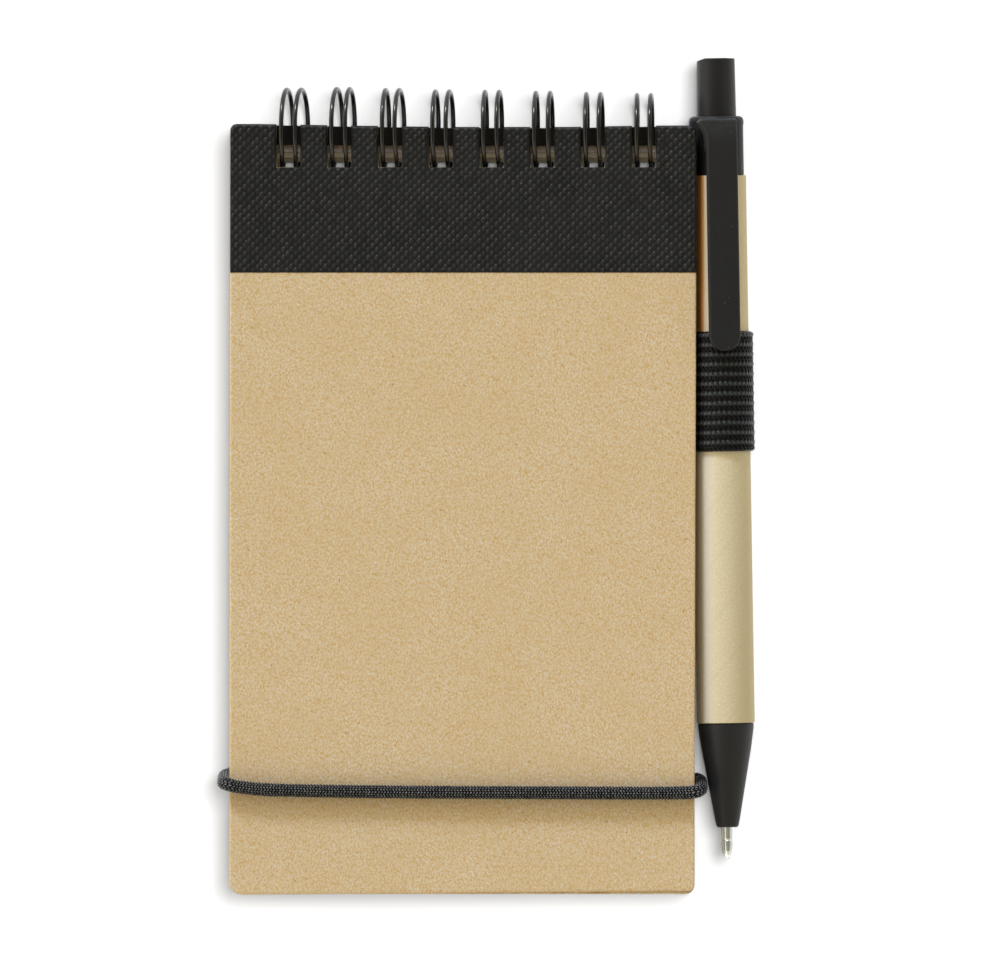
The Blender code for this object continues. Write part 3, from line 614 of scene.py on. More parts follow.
def card_material():
    """Wound paper tube: mottled, with painted light and shade in bands across the pen from its left side.
    """
    mat = Shader("card_tube_paper")
    pulp = mat.noise(scale=3.4, detail=3.0, rough=0.6, distortion=0.4)
    fine = mat.noise(scale=8.5, rough=0.6)
    mat.base = mat.shades(pulp, over=(0.30, 0.72), dark=(205, 190, 152), light=(221, 208, 175))
    mat.tint((215, 198, 163), fine, over=(0.4, 0.7), to=(0.0, 0.35))
    specks = mat.specks(scale=0.75, size=(0.05, 0.11), keep=(0.58, 0.60))
    mat.tint((196, 160, 108), specks, amount=0.35)
    slanted = mat.stretch((1, 1, 1), turn=40)
    seam = {"Vector": slanted, "Scale": 0.05, "Distortion": 0.6, "Detail": 1.0}
    seam = mat.node("TexWave", seam).outputs["Fac"]
    mat.tint((176, 158, 118), seam, over=(0.0, 0.04), to=(0.10, 0.0))

    side = mat.math("SUBTRACT", mat.axis("X"), PEN_X)
    # painted shade with warm bounce light from the pad, along the left edge
    mat.tint((204, 148, 70), side, over=(-5.0, -3.6), to=(1.0, 0.0), amount=0.85)
    # painted shade towards the right side
    mat.tint((192, 177, 138), side, over=(0.6, 4.6), to=(0.0, 0.65))
    # painted light and shade: a pale painted highlight left of middle, which above the woven loop gives
    # way to warmer ones: a painted warm glow, a painted shadow along the left edge and a golden band where
    # that shadow fades
    upper = mat.ramp(mat.axis("Y"), over=(27.0, 31.0))
    lower = mat.math("SUBTRACT", 1.0, mat.times(upper, 0.7))
    pale = mat.ramp(side, over=(-3.2, -0.2), to=(0.60, 0.0))
    mat.tint((234, 224, 204), mat.times(pale, lower))
    glow = mat.ramp(side, over=(-3.2, -1.6), to=(0.50, 0.0))
    mat.tint((222, 182, 128), mat.times(glow, upper))
    shade = mat.ramp(side, over=(-3.45, -2.95), to=(1.0, 0.0))
    mat.tint((150, 94, 38), mat.times(shade, upper), amount=0.92)
    rise = mat.ramp(side, over=(-3.80, -3.45))
    band = mat.times(rise, mat.ramp(side, over=(-3.40, -3.00), to=(1.0, 0.0)))
    mat.tint((228, 160, 82), mat.times(band, upper), amount=0.70)
    height = mat.math("ADD", pulp, mat.times(fine, 0.5))
    return mat.finish(rough=0.72, Normal=mat.bump(height, strength=0.25, depth=0.02), specular=0.3)


def metal_material(name, color, rough, brushed):
    """Metal with tool marks stretched per axis and a little tarnish; color is linear."""
    mat = Shader(name)
    marks = mat.noise(scale=2.0, rough=0.6, vector=mat.stretch(brushed))
    stain = mat.noise(scale=0.9, detail=3.0, rough=0.6)
    darker = tuple(level * 0.72 for level in color)
    mat.base = mat.mix(mat.ramp(stain, over=(0.4, 0.75), to=(0.0, 0.4)), color, darker)
    rough = mat.ramp(marks, over=(0.3, 0.7), to=(rough - 0.06, rough + 0.10))
    return mat.finish(rough, Normal=mat.bump(marks, strength=0.2, depth=0.01), Metallic=1.0)


def refill_material():
    """Milky plastic with haze drawn out along Y."""
    mat = Shader("refill_tube_plastic")
    haze = mat.noise(scale=2.0, vector=mat.stretch((2.0, 0.3, 2.0)))
    mat.base = mat.shades(haze, over=(0.3, 0.7), dark=(206, 208, 203), light=(226, 228, 224))
    rough = mat.ramp(haze, over=(0.3, 0.7), to=(0.28, 0.4))
    return mat.finish(rough, Normal=mat.bump(haze, strength=0.1, depth=0.01))


KRAFT = kraft_material("kraft_board_face")
KRAFT_BACK = kraft_material("kraft_board_back", layered=True)
LEATHER = leather_material()
LINING = lining_material()
PAPER = paper_material("sheet_paper")
# paper with painted shade round the slots, for the loose sheets
PAPER_TOP = paper_material("sheet_paper_slot_shade", shaded_slots=True)
WIRE = wire_material()
CORD_YARN = yarn_material(
    "elastic_braid_yarn", dark=(34, 36, 38), light=(134, 138, 142), rough=0.25,
    painted_light=(0.36, 0.86), shine=(0.11, 0.95),
)
BAND_YARN = yarn_material(
    "elastic_woven_yarn", dark=(13, 14, 15), light=(72, 77, 81), rough=0.26,
    painted_light=(0.50, 0.97), shine=(0.15, 0.66), fade_x=PEN_X,
)
CAP_PLASTIC = plastic_material(
    "cap_plastic_black", tone=25, rough=0.42, specular=0.17, scuffs=0.35, rim=(64.3, 65.2)
)
CLIP_PLASTIC = plastic_material(
    "clip_plastic_black", tone=34, rough=0.46, specular=0.24, scuffs=0.6, rim=(60.5, 64.6)
)
NOSE_PLASTIC = plastic_material("nose_plastic_black", tone=36, rough=0.45, specular=0.30)
BUTTON_PLASTIC = plastic_material("button_plastic_black", tone=28, rough=0.40, specular=0.30)
INNER_PLASTIC = plastic_material("mechanism_plastic", tone=60, rough=0.45)
CARD = card_material()
NICKEL = metal_material("tip_nickel", (0.90, 0.955, 1.0), rough=0.12, brushed=(0.3, 9.0, 0.3))
STEEL = metal_material("spring_steel", (0.62, 0.62, 0.63), rough=0.28, brushed=(1, 1, 1))
REFILL = refill_material()


# ============================================================================
# Cover boards
# ============================================================================
# under the covering the slots of the turning layers are cut wider to the right, since the
# first loops stand askew
ROOM = (0.95, 0.62, 0.30, 0.12, 0.0, 0.0, 0.0, 0.0)


def hole_spans(shift, roomy=False):
    """(left, right) of every slot."""
    spans = []
    for k in range(HOLES):
        middle = FIRST_HOLE_X + shift + HOLE_PITCH * k
        room = ROOM[k] if roomy else 0.0
        spans.append((middle - HOLE_WIDTH / 2, middle + HOLE_WIDTH / 2 + room))
    return spans


# how far the front sheet's edges stand off square: stations along the edge, offsets
RIGHT_EDGE = ([-64, -42, -34, -18, 2, 30, 52, 64], [-0.03, -0.06, -0.01, 0.05, 0.10, 0.22, 0.27, 0.27])
LEFT_EDGE = ([-64, 64], [-0.07, 0.07])
TOP_EDGE = ([-39, -34, -20, -2, 18, 26, 34, 39], [0.16, 0.16, -0.10, -0.35, -0.35, -0.20, -0.10, -0.10])
BOTTOM_EDGE = ([-39, -35, 0, 37, 39], [-0.52, -0.50, -0.18, 0.12, 0.14])
# distances from the middle over which the offsets grow to full
SIDE_REACH = (33.2, HALF_WIDTH)
TOP_REACH = (58.2, COVER_TOP)
BOTTOM_REACH = (58.0, -FRONT_BOTTOM)


def warp_front(points):
    """The cut sheet's real outline: edges a few tenths of a millimetre off square."""
    u, v = points[:, 0], points[:, 1]
    x = u + ease(*SIDE_REACH, u) * np.interp(v, *RIGHT_EDGE)
    x = x + ease(*SIDE_REACH, -u) * np.interp(v, *LEFT_EDGE)
    y = v + ease(*TOP_REACH, v) * np.interp(u, *TOP_EDGE)
    y = y + ease(*BOTTOM_REACH, -v) * np.interp(u, *BOTTOM_EDGE)
    return np.column_stack([x, y])


def warp_back(points):
    u, v = points[:, 0], points[:, 1]
    x = u + ease(*SIDE_REACH, u) * (0.05 + 0.04 * np.sin(v / 31.0))
    y = v + ease(*TOP_REACH, v) * (0.08 * np.sin(u / 17.0) - 0.42)
    return np.column_stack([x, y])


def cut_edge(x, y, z):
    """Board walls bulge and fray by a few hundredths of a millimetre."""
    bulge = 0.02 * noise2(x * 1.7 + z * 3.1, y * 1.7 + z * 6.3, seed=11)
    return bulge + 0.012 * noise2(z * 9.0 + x, y, seed=12)


TOP_CORNERS = (1.1, 1.1)
BOARD_TOP = COVER_TOP - 0.13
# the back cover has a punched eye for each end of the closure: side -> Y
CORD_EYE_X, CORD_EYE_R = 29.0, 1.35
CORD_EYE_Y = {-1: -43.8, 1: -44.6}


def front_board():
    cut = outline(-HALF_WIDTH, HALF_WIDTH, FRONT_BOTTOM, BOARD_TOP, (2.1, 1.0, *TOP_CORNERS),
                  hole_spans(0.0, roomy=True))
    plate = soft_plate([cut], FRONT_INSIDE, PAD_TOP, radius=0.24, warp=warp_front, ripple=cut_edge)
    piece("kraft_front_cover", *plate, KRAFT, "front_cover", ["front_board"], "kraft_board")


def back_board():
    loops = [outline(-HALF_WIDTH, HALF_WIDTH, BACK_BOTTOM, BOARD_TOP, (2.1, 1.4, *TOP_CORNERS),
                     hole_spans(BACK_SHIFT))]
    for side, y in CORD_EYE_Y.items():
        loops.append(arc(side * CORD_EYE_X, y, CORD_EYE_R, 360, 0, 32)[:-1])
    plate = soft_plate(loops, 0.0, BOARD_T, radius=0.2, warp=warp_back, ripple=cut_edge)
    piece("kraft_back_cover", *plate, KRAFT_BACK, "pad", ["back_board"], "kraft_board")


def liner(name, node, body, bottom, shift, roomy, warp):
    low, high = box_mm(node)
    half_width = 38.2
    loops = [outline(-half_width, half_width, bottom + 0.6, COVER_TOP - 0.16, (1.8, 1, *TOP_CORNERS))]
    loops += [slot_loop(*span, SLOT_BOTTOM, LINING_HOLE_TOP, radius=0.25)
              for span in hole_spans(shift, roomy)]
    plate = soft_plate(loops, low[2], high[2], radius=0.06, steps=2, lip=0.12, warp=warp)
    piece(name, *plate, LINING, body, [node], "lining")


front_board()
back_board()
liner("lining_sheet_front", "front_liner", "front_cover", FRONT_BOTTOM, 0.0, True, warp_front)
liner("lining_sheet_back", "back_liner", "pad", BACK_BOTTOM, BACK_SHIFT, False, warp_back)


# ---- embossed spine strips ---------------------------------------------------------------
STRIP_BOTTOM = 39.55
CELL_W, CELL_H = 1.4225, 1.400          # lattice cell of the pips
PIP_SLANT = math.radians(13.0)
PIP_HEIGHT = 0.165
STRIP_EDGE_R, STRIP_FOLD_R = 0.13, 0.50


def emboss(x, y):
    """Slanted oval pips on a centred lattice, 0..1.2: each is a low dome with a crisp foot."""
    x = x + 0.05 * noise2(x * 0.35, y * 0.35, seed=3)
    y = y + 0.05 * noise2(x * 0.35, y * 0.35, seed=4)
    height = np.zeros(np.shape(x))
    cos, sin = math.cos(PIP_SLANT), math.sin(PIP_SLANT)
    for half in (0.0, 0.5):
        column = np.round(x / CELL_W - half) + half
        nearest_row = np.round(y / CELL_H - half) + half
        for neighbour in (-1, 0, 1):
            row = nearest_row + neighbour
            right = x - (column * CELL_W + 0.14 * (hash01(column * 2, row * 2, 5) - 0.5))
            above = y - (row * CELL_H + 0.15 * (hash01(column * 2, row * 2, 6) - 0.5))
            across, along = right * cos - above * sin, right * sin + above * cos
            oval = (across / (0.39 - 0.07 * along)) ** 2 + (along / 0.50) ** 2
            size = 0.55 + 0.65 * hash01(column * 2, row * 2, 8)
            height = np.maximum(height, size * (1 - np.minimum(oval, 1.0) ** 1.1))
    return height


def strip_columns(spans, pitch):
    """X stations, with one on every slot side and finer ones at the strip's ends."""
    cuts = [-HALF_WIDTH, *(x for span in spans for x in span), HALF_WIDTH]
    columns = []
    for start, end in zip(cuts, cuts[1:]):
        count = max(2, int(round((end - start) / pitch)))
        columns += list(np.linspace(start, end, count, endpoint=False))
    columns.append(HALF_WIDTH)
    rim = np.array([0.02, 0.07, 0.16, 0.28, 0.43])
    stations = np.concatenate([columns, -HALF_WIDTH + rim, HALF_WIDTH - rim])
    return np.unique(np.round(stations, 4))


def strip_rows(pitch):
    """Y stations, finer at the strip's foot, the slots' foot and the folded top."""
    below = int(round((SLOT_BOTTOM - STRIP_BOTTOM) / pitch))
    above = int(round((COVER_TOP - SLOT_BOTTOM) / pitch))
    stations = np.concatenate([
        np.linspace(STRIP_BOTTOM, SLOT_BOTTOM, below, endpoint=False),
        np.linspace(SLOT_BOTTOM, COVER_TOP, above + 1),
        STRIP_BOTTOM + np.array([0.03, 0.07]),
        COVER_TOP - np.array([0.008, 0.03, 0.07, 0.12, 0.18, 0.25]),
        SLOT_BOTTOM - np.array([0.03, 0.08]),
    ])
    return np.unique(np.round(stations, 4))


def strip_surface(x, row, spans):
    """Y, height over the strip's face, and pip height for a grid of stations."""
    from_end = np.clip(np.minimum(x + HALF_WIDTH, HALF_WIDTH - x), 0, None)
    top = COVER_TOP - rolloff(from_end, TOP_CORNERS[0])
    squeeze = (row - SLOT_BOTTOM) * (top - SLOT_BOTTOM) / (COVER_TOP - SLOT_BOTTOM)
    y = np.where(row > SLOT_BOTTOM, SLOT_BOTTOM + squeeze, row)
    depth = np.minimum.reduce([from_end, top - y, y - STRIP_BOTTOM])
    for start, end in spans:
        beside = np.maximum(start - x, x - end)
        under = np.hypot(np.maximum(0, beside), SLOT_BOTTOM - row)
        from_slot = np.where(row >= SLOT_BOTTOM, beside, under)
        depth = np.minimum(depth, np.maximum(from_slot, 0))
    crest = emboss(x, y) * ease(0.10, 0.45, depth)
    wear = 0.014 * noise2(x * 4.3, y * 4.3, seed=21) * (0.3 + ease(0.0, 0.3, 0.9 - depth))
    wear = wear + 0.02 * noise2(x * 0.3, y * 0.3, seed=22)
    # the covering is rolled over the top edge, so it falls away towards it
    fall = np.maximum(rolloff(depth, STRIP_EDGE_R), rolloff(top - y, STRIP_FOLD_R))
    return y, crest * PIP_HEIGHT + wear - fall, crest


def border_loop(quads):
    """Point indices round the outside of a sheet of quads."""
    edges = np.concatenate([quads[:, [k, (k + 1) % 4]] for k in range(4)])
    _, first, count = np.unique(np.sort(edges, 1), axis=0, return_index=True, return_counts=True)
    following = {int(start): int(end) for start, end in edges[first[count == 1]]}
    start = next(iter(following))
    loop, current = [start], following[start]
    while current != start:
        loop.append(current)
        current = following[current]
    return loop


def spine_strip(name, node, body, shift, z_base, z_top, outward, warp, pitch):
    """Covering laid over the board's top edge, cut round the wire's slots.

    outward is +1 or -1 in Z."""
    spans = hole_spans(shift)
    columns, rows = strip_columns(spans, pitch), strip_rows(pitch)
    x, row = np.meshgrid(columns, rows, indexing="ij")
    y, height, crest = strip_surface(x, row, spans)
    flat = warp(np.column_stack([x.ravel(), y.ravel()]))
    points = np.column_stack([flat, (z_top + outward * height).ravel()])

    mid_x, mid_row = (columns[:-1] + columns[1:]) / 2, (rows[:-1] + rows[1:]) / 2
    keep = np.ones((len(mid_x), len(mid_row)), bool)
    for start, end in spans:
        within = (mid_x > start) & (mid_x < end)
        keep &= ~(within[:, None] & (mid_row > SLOT_BOTTOM)[None, :])
    quads = grid_faces(np.arange(x.size).reshape(x.shape))[keep]
    used, quads = np.unique(quads, return_inverse=True)
    quads = quads.reshape(-1, 4)

    # the underside: the border dropped to the board, and down over its top edge
    loop = border_loop(quads)
    low = points[used][loop]
    low[:, 2] = z_base
    at_top = np.abs(row.ravel()[used][loop] - COVER_TOP) < 1e-3
    low[at_top, 2] = z_base - outward * (BOARD_T - 0.12)
    points = np.concatenate([points[used], low])
    under = np.arange(len(used), len(points))
    faces = quads.tolist() + rim_faces(loop, under).tolist() + flat_faces(points, [under])
    strip = piece(name, points, faces, LEATHER, body, [node], "leatherette", sharp=60)
    relief(strip, crest.ravel()[used])


spine_strip(
    "spine_cover_front", "front_spine_strip", "front_cover", shift=0.0,
    z_base=PAD_TOP - 0.03, z_top=PAD_TOP + 0.10, outward=1, warp=warp_front, pitch=0.112,
)
spine_strip(
    "spine_cover_back", "back_spine_strip", "pad", shift=BACK_SHIFT,
    z_base=0.03, z_top=-0.14, outward=-1, warp=warp_back, pitch=0.19,
)


# ============================================================================
# Sheets
# ============================================================================
PAGE_LEFT, PAGE_RIGHT, PAGE_LENGTH = -37.9, 36.5, 124.2
PAGE_HOLE_HEIGHT, PAGE_MARGIN, PAGE_CORNER_R = 3.76, 3.3, 0.8
LOOSE_LEAVES, LOOSE_HOLE_TOP = 4, 59.6
LEAF_GAP, LEAF_FILL = 0.125, 0.86       # spacing in a stack, and the paper's share of it
STACK_HOLE_TOPS = {"upper": 58.85, "middle": 58.10, "lower": 58.85}


def leaf(hole_top, z_low, z_high, radius, shift_x=0.0, shift_y=0.0, roomy=False):
    top = hole_top + PAGE_MARGIN
    corners = [PAGE_CORNER_R] * 4
    loops = [outline(PAGE_LEFT, PAGE_RIGHT, top - PAGE_LENGTH, top, corners, steps=5)]
    loops += [slot_loop(*span, hole_top - PAGE_HOLE_HEIGHT, hole_top, radius=0.3)
              for span in hole_spans(PAGE_SHIFT, roomy)]
    points, faces = soft_plate(loops, z_low, z_high, radius, steps=1, lip=0.05)
    return points + (shift_x, shift_y, 0.0), faces


def page_stack(level, hole_top, seed):
    node = f"page_block_{level}"
    low, high = box_mm(node)
    count = int(round((high[2] - low[2]) / LEAF_GAP))
    gap = (high[2] - low[2]) / count
    shifts_x = 0.10 * (hash01(np.arange(count), seed) - 0.5)
    shifts_y = 0.12 * (hash01(np.arange(count), seed + 9) - 0.5)
    leaves = []
    for i in range(count):
        z = low[2] + gap * i
        leaves.append(leaf(hole_top, z, z + gap * LEAF_FILL, 0.025, shifts_x[i], shifts_y[i]))
    piece(f"page_stack_{level}", *join(leaves), PAPER, "pad", [node], "paper")


for k in range(1, LOOSE_LEAVES + 1):
    node = f"sheet_{k}"
    low, high = box_mm(node)
    sheet = leaf(LOOSE_HOLE_TOP, low[2], high[2], radius=0.03, roomy=True)
    piece(f"loose_leaf_{k}", *sheet, PAPER_TOP, node, [node], "paper")
for seed, (level, hole_top) in enumerate(STACK_HOLE_TOPS.items(), 1):
    page_stack(level, hole_top, seed)


# ============================================================================
# Binding wire
# ============================================================================
RING_Y, RING_Z, RING_R, WIRE_R = 63.4, 5.5, 6.5, 0.385
WIRE_SHIFT = 0.15
# Each pair of loops leans a little differently. Columns: front x of the two strands where
# they leave the cover, x of the same strands behind it, the loop's reach above the ring's centre.
LOOPS = [
    (-30.19, -27.91, -28.39, -25.86, 6.77),
    (-21.84, -19.57, -20.07, -18.02, 6.88),
    (-13.38, -11.31, -12.26, -9.75, 6.72),
    (-4.99, -2.79, -4.01, -1.53, 6.47),
    (3.44, 5.68, 4.09, 6.61, 6.42),
    (11.93, 14.25, 12.61, 15.08, 6.25),
    (20.48, 22.71, 20.93, 23.46, 6.05),
    (29.03, 31.20, 29.28, 31.75, 5.88),
]
# angles round the ring in degrees, from +Y towards +Z
BASE_DEG, TIP_DEG = 258.5, -92.0
BEND_R = 0.8                            # where one pair of loops runs into the next
BEND_DEG = math.degrees(BEND_R / RING_R)


def base_x(k, side, degrees):
    """X of an upright strand; side is -1 or 1."""
    sin = math.sin(math.radians(degrees))
    middle = FIRST_HOLE_X + HOLE_PITCH * k + WIRE_SHIFT
    return middle - 0.25 * sin + side * (1.19 - 0.05 * sin)


def strand_x(k, side, degrees):
    """X of the leaning strand, which stands upright towards its base."""
    front, behind = LOOPS[k][0 if side < 0 else 1], LOOPS[k][2 if side < 0 else 3]
    swing = max(-1.0, min(1.0, math.sin(math.radians(degrees)) / 0.97))
    lean = (front + behind) / 2 + (front - behind) / 2 * swing
    upright = float(ease(98.0, 160.0, degrees))
    return lean * (1 - upright) + base_x(k, side, degrees) * upright


def ring_point(x, degrees, k):
    angle = math.radians(degrees)
    high = float(ease(0.0, 0.6, math.cos(angle)))
    reach = RING_R * (1 - high) + LOOPS[k][4] * high
    return (x, RING_Y + reach * math.cos(angle), RING_Z + RING_R * math.sin(angle))


def base_bend(k, side, turns):
    """Bend at a strand's base, towards the neighbouring pair of loops."""
    x = base_x(k, side, BASE_DEG)
    return [
        ring_point(x + side * BEND_R * (1 - math.cos(turn)), BASE_DEG - BEND_DEG * (1 - math.sin(turn)), k)
        for turn in np.radians(turns)
    ]


def wire_path():
    path = []
    for k in range(HOLES):
        left, right = strand_x(k, -1, TIP_DEG), strand_x(k, 1, TIP_DEG)
        half, middle = (right - left) / 2, (right + left) / 2
        hook = 0.62 * math.degrees(half / RING_R)
        tip = TIP_DEG + hook
        starts_bent, ends_bent = k > 0, k < HOLES - 1
        if starts_bent:
            path += base_bend(k, -1, range(90, 0, -15))
        for degrees in np.linspace(BASE_DEG - BEND_DEG * starts_bent, tip, 60):
            path.append(ring_point(strand_x(k, -1, degrees), degrees, k))
        for turn in np.radians(range(15, 180, 15)):
            path.append(ring_point(middle - half * math.cos(turn), tip - hook * math.sin(turn), k))
        for degrees in np.linspace(tip, BASE_DEG - BEND_DEG * ends_bent, 60):
            path.append(ring_point(strand_x(k, 1, degrees), degrees, k))
        if ends_bent:
            path += base_bend(k, 1, range(15, 105, 15))
    return path


path = wire_path()
radii = np.full(len(path), WIRE_R)
radii[[0, -1]] *= 0.55
piece("wire_coil", *tube(path, radii, 16), WIRE, "pad", ["binding_wire"], "coated_wire", sharp=None)


# ============================================================================
# Pen
# ============================================================================
LEAN = 0.01612                          # the pen leans left by this much per unit of height
NORM = math.hypot(1.0, LEAN)
AXIS = np.array([-LEAN / NORM, 1.0 / NORM, 0.0])
SIDE = np.array([1.0 / NORM, LEAN / NORM, 0.0])
OUT = np.array([0.0, 0.0, 1.0])
PEN_ORIGIN = np.array([PEN_X, 0.0, PEN_Z])


def pen_points(along, aside, out):
    """Points from distances along the pen, to its right and towards the front."""
    along, aside, out = np.broadcast_arrays(np.asarray(along, float), aside, out)
    return PEN_ORIGIN + along[..., None] * AXIS + aside[..., None] * SIDE + out[..., None] * OUT


def smooth_profile(knots, radius, steps):
    """(along, radius) corners with each rounded by a small fillet."""
    knots = np.asarray(knots, float)
    out = [knots[0]]
    for before, corner, after in zip(knots, knots[1:], knots[2:]):
        back, ahead = np.linalg.norm(before - corner), np.linalg.norm(after - corner)
        cut = min(radius, 0.45 * back, 0.45 * ahead)
        start = corner + (before - corner) / back * cut
        end = corner + (after - corner) / ahead * cut
        for t in np.linspace(0, 1, steps + 1):
            out.append((1 - t) ** 2 * start + 2 * t * (1 - t) * corner + t * t * end)
    out.append(knots[-1])
    return np.array(out)


def turned(profile, sides, closed=True, bump=None):
    """A turned solid: a closed ring profile, or an open one with both ends on the axis."""
    angle = TAU * np.arange(sides) / sides
    points, rings, base = [], [], 0
    for along, radius in profile:
        on_axis = not closed and radius < 1e-9
        count = 1 if on_axis else sides
        if bump is not None:
            radius = radius + bump(along, angle)
        around = angle[:count]
        points.append(pen_points(along, radius * np.cos(around), radius * np.sin(around)))
        rings.append([base] * sides if on_axis else list(range(base, base + count)))
        base += count
    if closed:
        rings.append(rings[0])
    faces = []
    for ring, after in zip(rings, rings[1:]):
        for k in range(sides):
            n = (k + 1) % sides
            # at a point on the axis two corners fall together and leave a triangle
            faces.append(tuple(dict.fromkeys((ring[k], ring[n], after[n], after[k]))))
    return np.concatenate(points), faces


def turned_part(name, knots, fillet, steps, sides, material, body, node, slot, bump=None):
    solid = turned(smooth_profile(knots, fillet, steps), sides, bump=bump)
    piece(name, *solid, material, body, [node], slot, sharp=60)


def card_bump(along, angle):
    return 0.006 * noise2(angle * 8, np.full_like(angle, along * 0.7), seed=5)


BARREL_R, BORE, BARREL_LOW, BARREL_HIGH = 4.82, 4.40, -35.55, 55.80
# profile tables: (along the pen, radius)
BARREL = [
    (BARREL_LOW + 0.3, BORE), (BARREL_LOW + 0.01, BORE + 0.02), (BARREL_LOW, BARREL_R),
    (BARREL_HIGH, BARREL_R), (BARREL_HIGH - 0.01, BORE + 0.02), (BARREL_HIGH - 0.3, BORE),
]
# with its collar and plug
CAP = [
    (48.0, 3.05), (48.0, 4.22), (55.86, 4.22), (55.86, 4.48), (64.15, 4.48), (64.35, 4.56),
    (65.0, 4.56), (65.45, 4.40), (65.68, 4.07), (65.73, 3.62), (65.60, 3.46), (54.5, 3.46),
    (54.0, 3.05),
]
# with its hidden plunger
BUTTON = [
    (54.6, 0), (54.6, 2.4), (55.0, 2.75), (59.5, 2.75), (60.0, 3.34), (66.0, 3.34),
    (75.28, 3.24), (75.36, 3.16), (75.43, 2.0), (75.46, 0),
]
NOSE = [
    (-28.0, 2.62), (-45.6, 2.60), (-47.2, 1.75), (-47.2, 1.28), (-52.9, 1.28), (-53.0, 1.62),
    (-52.8, 1.82), (-51.7, 2.08), (-48.3, 2.66), (-42.5, 3.67), (-40.0, 4.12), (-37.5, 4.48),
    (-36.3, 4.64), (-35.62, 4.64), (-35.62, 4.22), (-28.0, 4.22),
]
INK_TUBE = [
    (-44.0, 1.05), (-44.0, 1.50), (-34.3, 1.50), (-34.2, 2.3), (-33.4, 2.3), (-33.3, 1.50),
    (46.4, 1.50), (46.4, 1.05),
]
TIP = [
    (-38.0, 0.45), (-38.0, 0.95), (-44.05, 0.95), (-44.05, 1.45), (-45.4, 1.45), (-45.8, 1.12),
    (-54.9, 1.12), (-55.0, 1.05), (-55.15, 1.05), (-55.25, 1.12), (-56.1, 1.12), (-56.9, 1.0),
    (-57.6, 0.76), (-58.05, 0.49), (-58.13, 0.40), (-58.13, 0.37), (-57.75, 0.39), (-57.2, 0.30),
]

# clip: one moulding with a rounded back, a root that wraps the collar and a round lower end
CLIP_TURN = math.radians(9.5)           # round the pen, from the front towards the right
CLIP_SHIFT = -0.30
CLIP_HALF_W, CLIP_END_R, CLIP_END = 2.64, 2.52, 29.02   # END is the round end's centre
CLIP_BOTTOM, CLIP_T = 5.86, 1.16        # from the pen's axis
CLIP_RIM = 0.42
CLIP_SIDES = 24                         # points across each face
CLIP_FILL = 0.97                        # share of a quarter turn that spaces them


def clip_half_width(along):
    base = CLIP_HALF_W - 0.03 * ease(33.0, 60.0, along)
    low = np.clip((CLIP_END - along) / CLIP_END_R, 0, 1)
    high = np.clip((along - 64.55) / 0.75, 0, 1)
    return base * np.sqrt(np.maximum(1 - low**2, 0)) * np.sqrt(np.maximum(1 - 0.25 * high**2, 0))


def clip_section(along):
    """(across, height) round one cross-section: a softly crowned face, then the flat back."""
    half = max(float(clip_half_width(along)), 0.02)
    closing = float(ease(65.29, 65.0, along))
    tip = float(np.clip(half / 1.6, 0.0, 1.0))
    thickness = CLIP_T * (0.30 + 0.70 * (1 - rolloff(tip, 1.0))) * (0.25 + 0.75 * closing)
    root = float(ease(59.4, 60.2, along) * ease(65.25, 64.7, along))
    bottom = CLIP_BOTTOM + 0.05 * (1 - tip) - root * 1.9
    t = np.linspace(-1, 1, CLIP_SIDES)
    quarter = math.pi / 2
    across = half * np.sin(t * quarter * CLIP_FILL) / math.sin(quarter * CLIP_FILL)
    # the root flares towards the left only
    flare = 1.25 * float(ease(61.2, 65.1, along)) ** 1.8
    flare *= float(1 - 0.10 * ease(64.9, 65.28, along))
    full = np.where(across < 0, half + flare, half)
    across = np.where(across < 0, across * (1 + flare / max(half, 0.5)), across)
    inward = full - np.abs(across)
    edge = np.clip(inward / min(CLIP_RIM, half), 0, 1)
    crown = 0.10 * (1 - t**2) * min(1.0, half / 2.0)
    face = CLIP_BOTTOM + thickness - 0.30 * rolloff(edge, 1.0) + crown - 0.05
    back_edge = np.clip(inward[::-1] / min(0.2, half), 0, 1)
    back = bottom + 0.16 * rolloff(back_edge, 1.0)
    return np.concatenate([across, across[::-1] * 0.995]), np.concatenate([face, back])


def clip_mesh():
    round_end = CLIP_END - CLIP_END_R * np.cos(np.linspace(0.0, math.pi / 2, 22))
    stations = np.concatenate([
        round_end + 1e-4, np.linspace(29.1, 59.9, 60), np.linspace(60.1, 65.05, 30),
        [65.16, 65.24, 65.28],
    ])
    cos, sin = math.cos(CLIP_TURN), math.sin(CLIP_TURN)
    points = []
    for along in stations:
        across, height = clip_section(along)
        across = across + CLIP_SHIFT
        points.append(pen_points(along, height * sin + across * cos, height * cos - across * sin))
    return np.concatenate(points), capped_faces(len(stations), 2 * CLIP_SIDES)


def button():
    points, faces = turned(smooth_profile(BUTTON, 0.07, 4), 96, closed=False)
    # the finger end is sliced off a little on its left, and a flat runs down that side
    aside, along = (points - PEN_ORIGIN) @ SIDE, (points - PEN_ORIGIN) @ AXIS
    cut = 0.42 * np.clip((-1.75 - aside) / 1.5, 0, 1) * ease(66.0, 75.2, along)
    flat = np.where(along > 60.2, 0.16 * np.clip((-2.35 - aside) / 0.95, 0, 1), 0.0)
    points = points - cut[:, None] * AXIS + flat[:, None] * SIDE
    piece("button_shell", points, faces, BUTTON_PLASTIC, "button", ["pen_button"],
          "black_plastic", sharp=30)


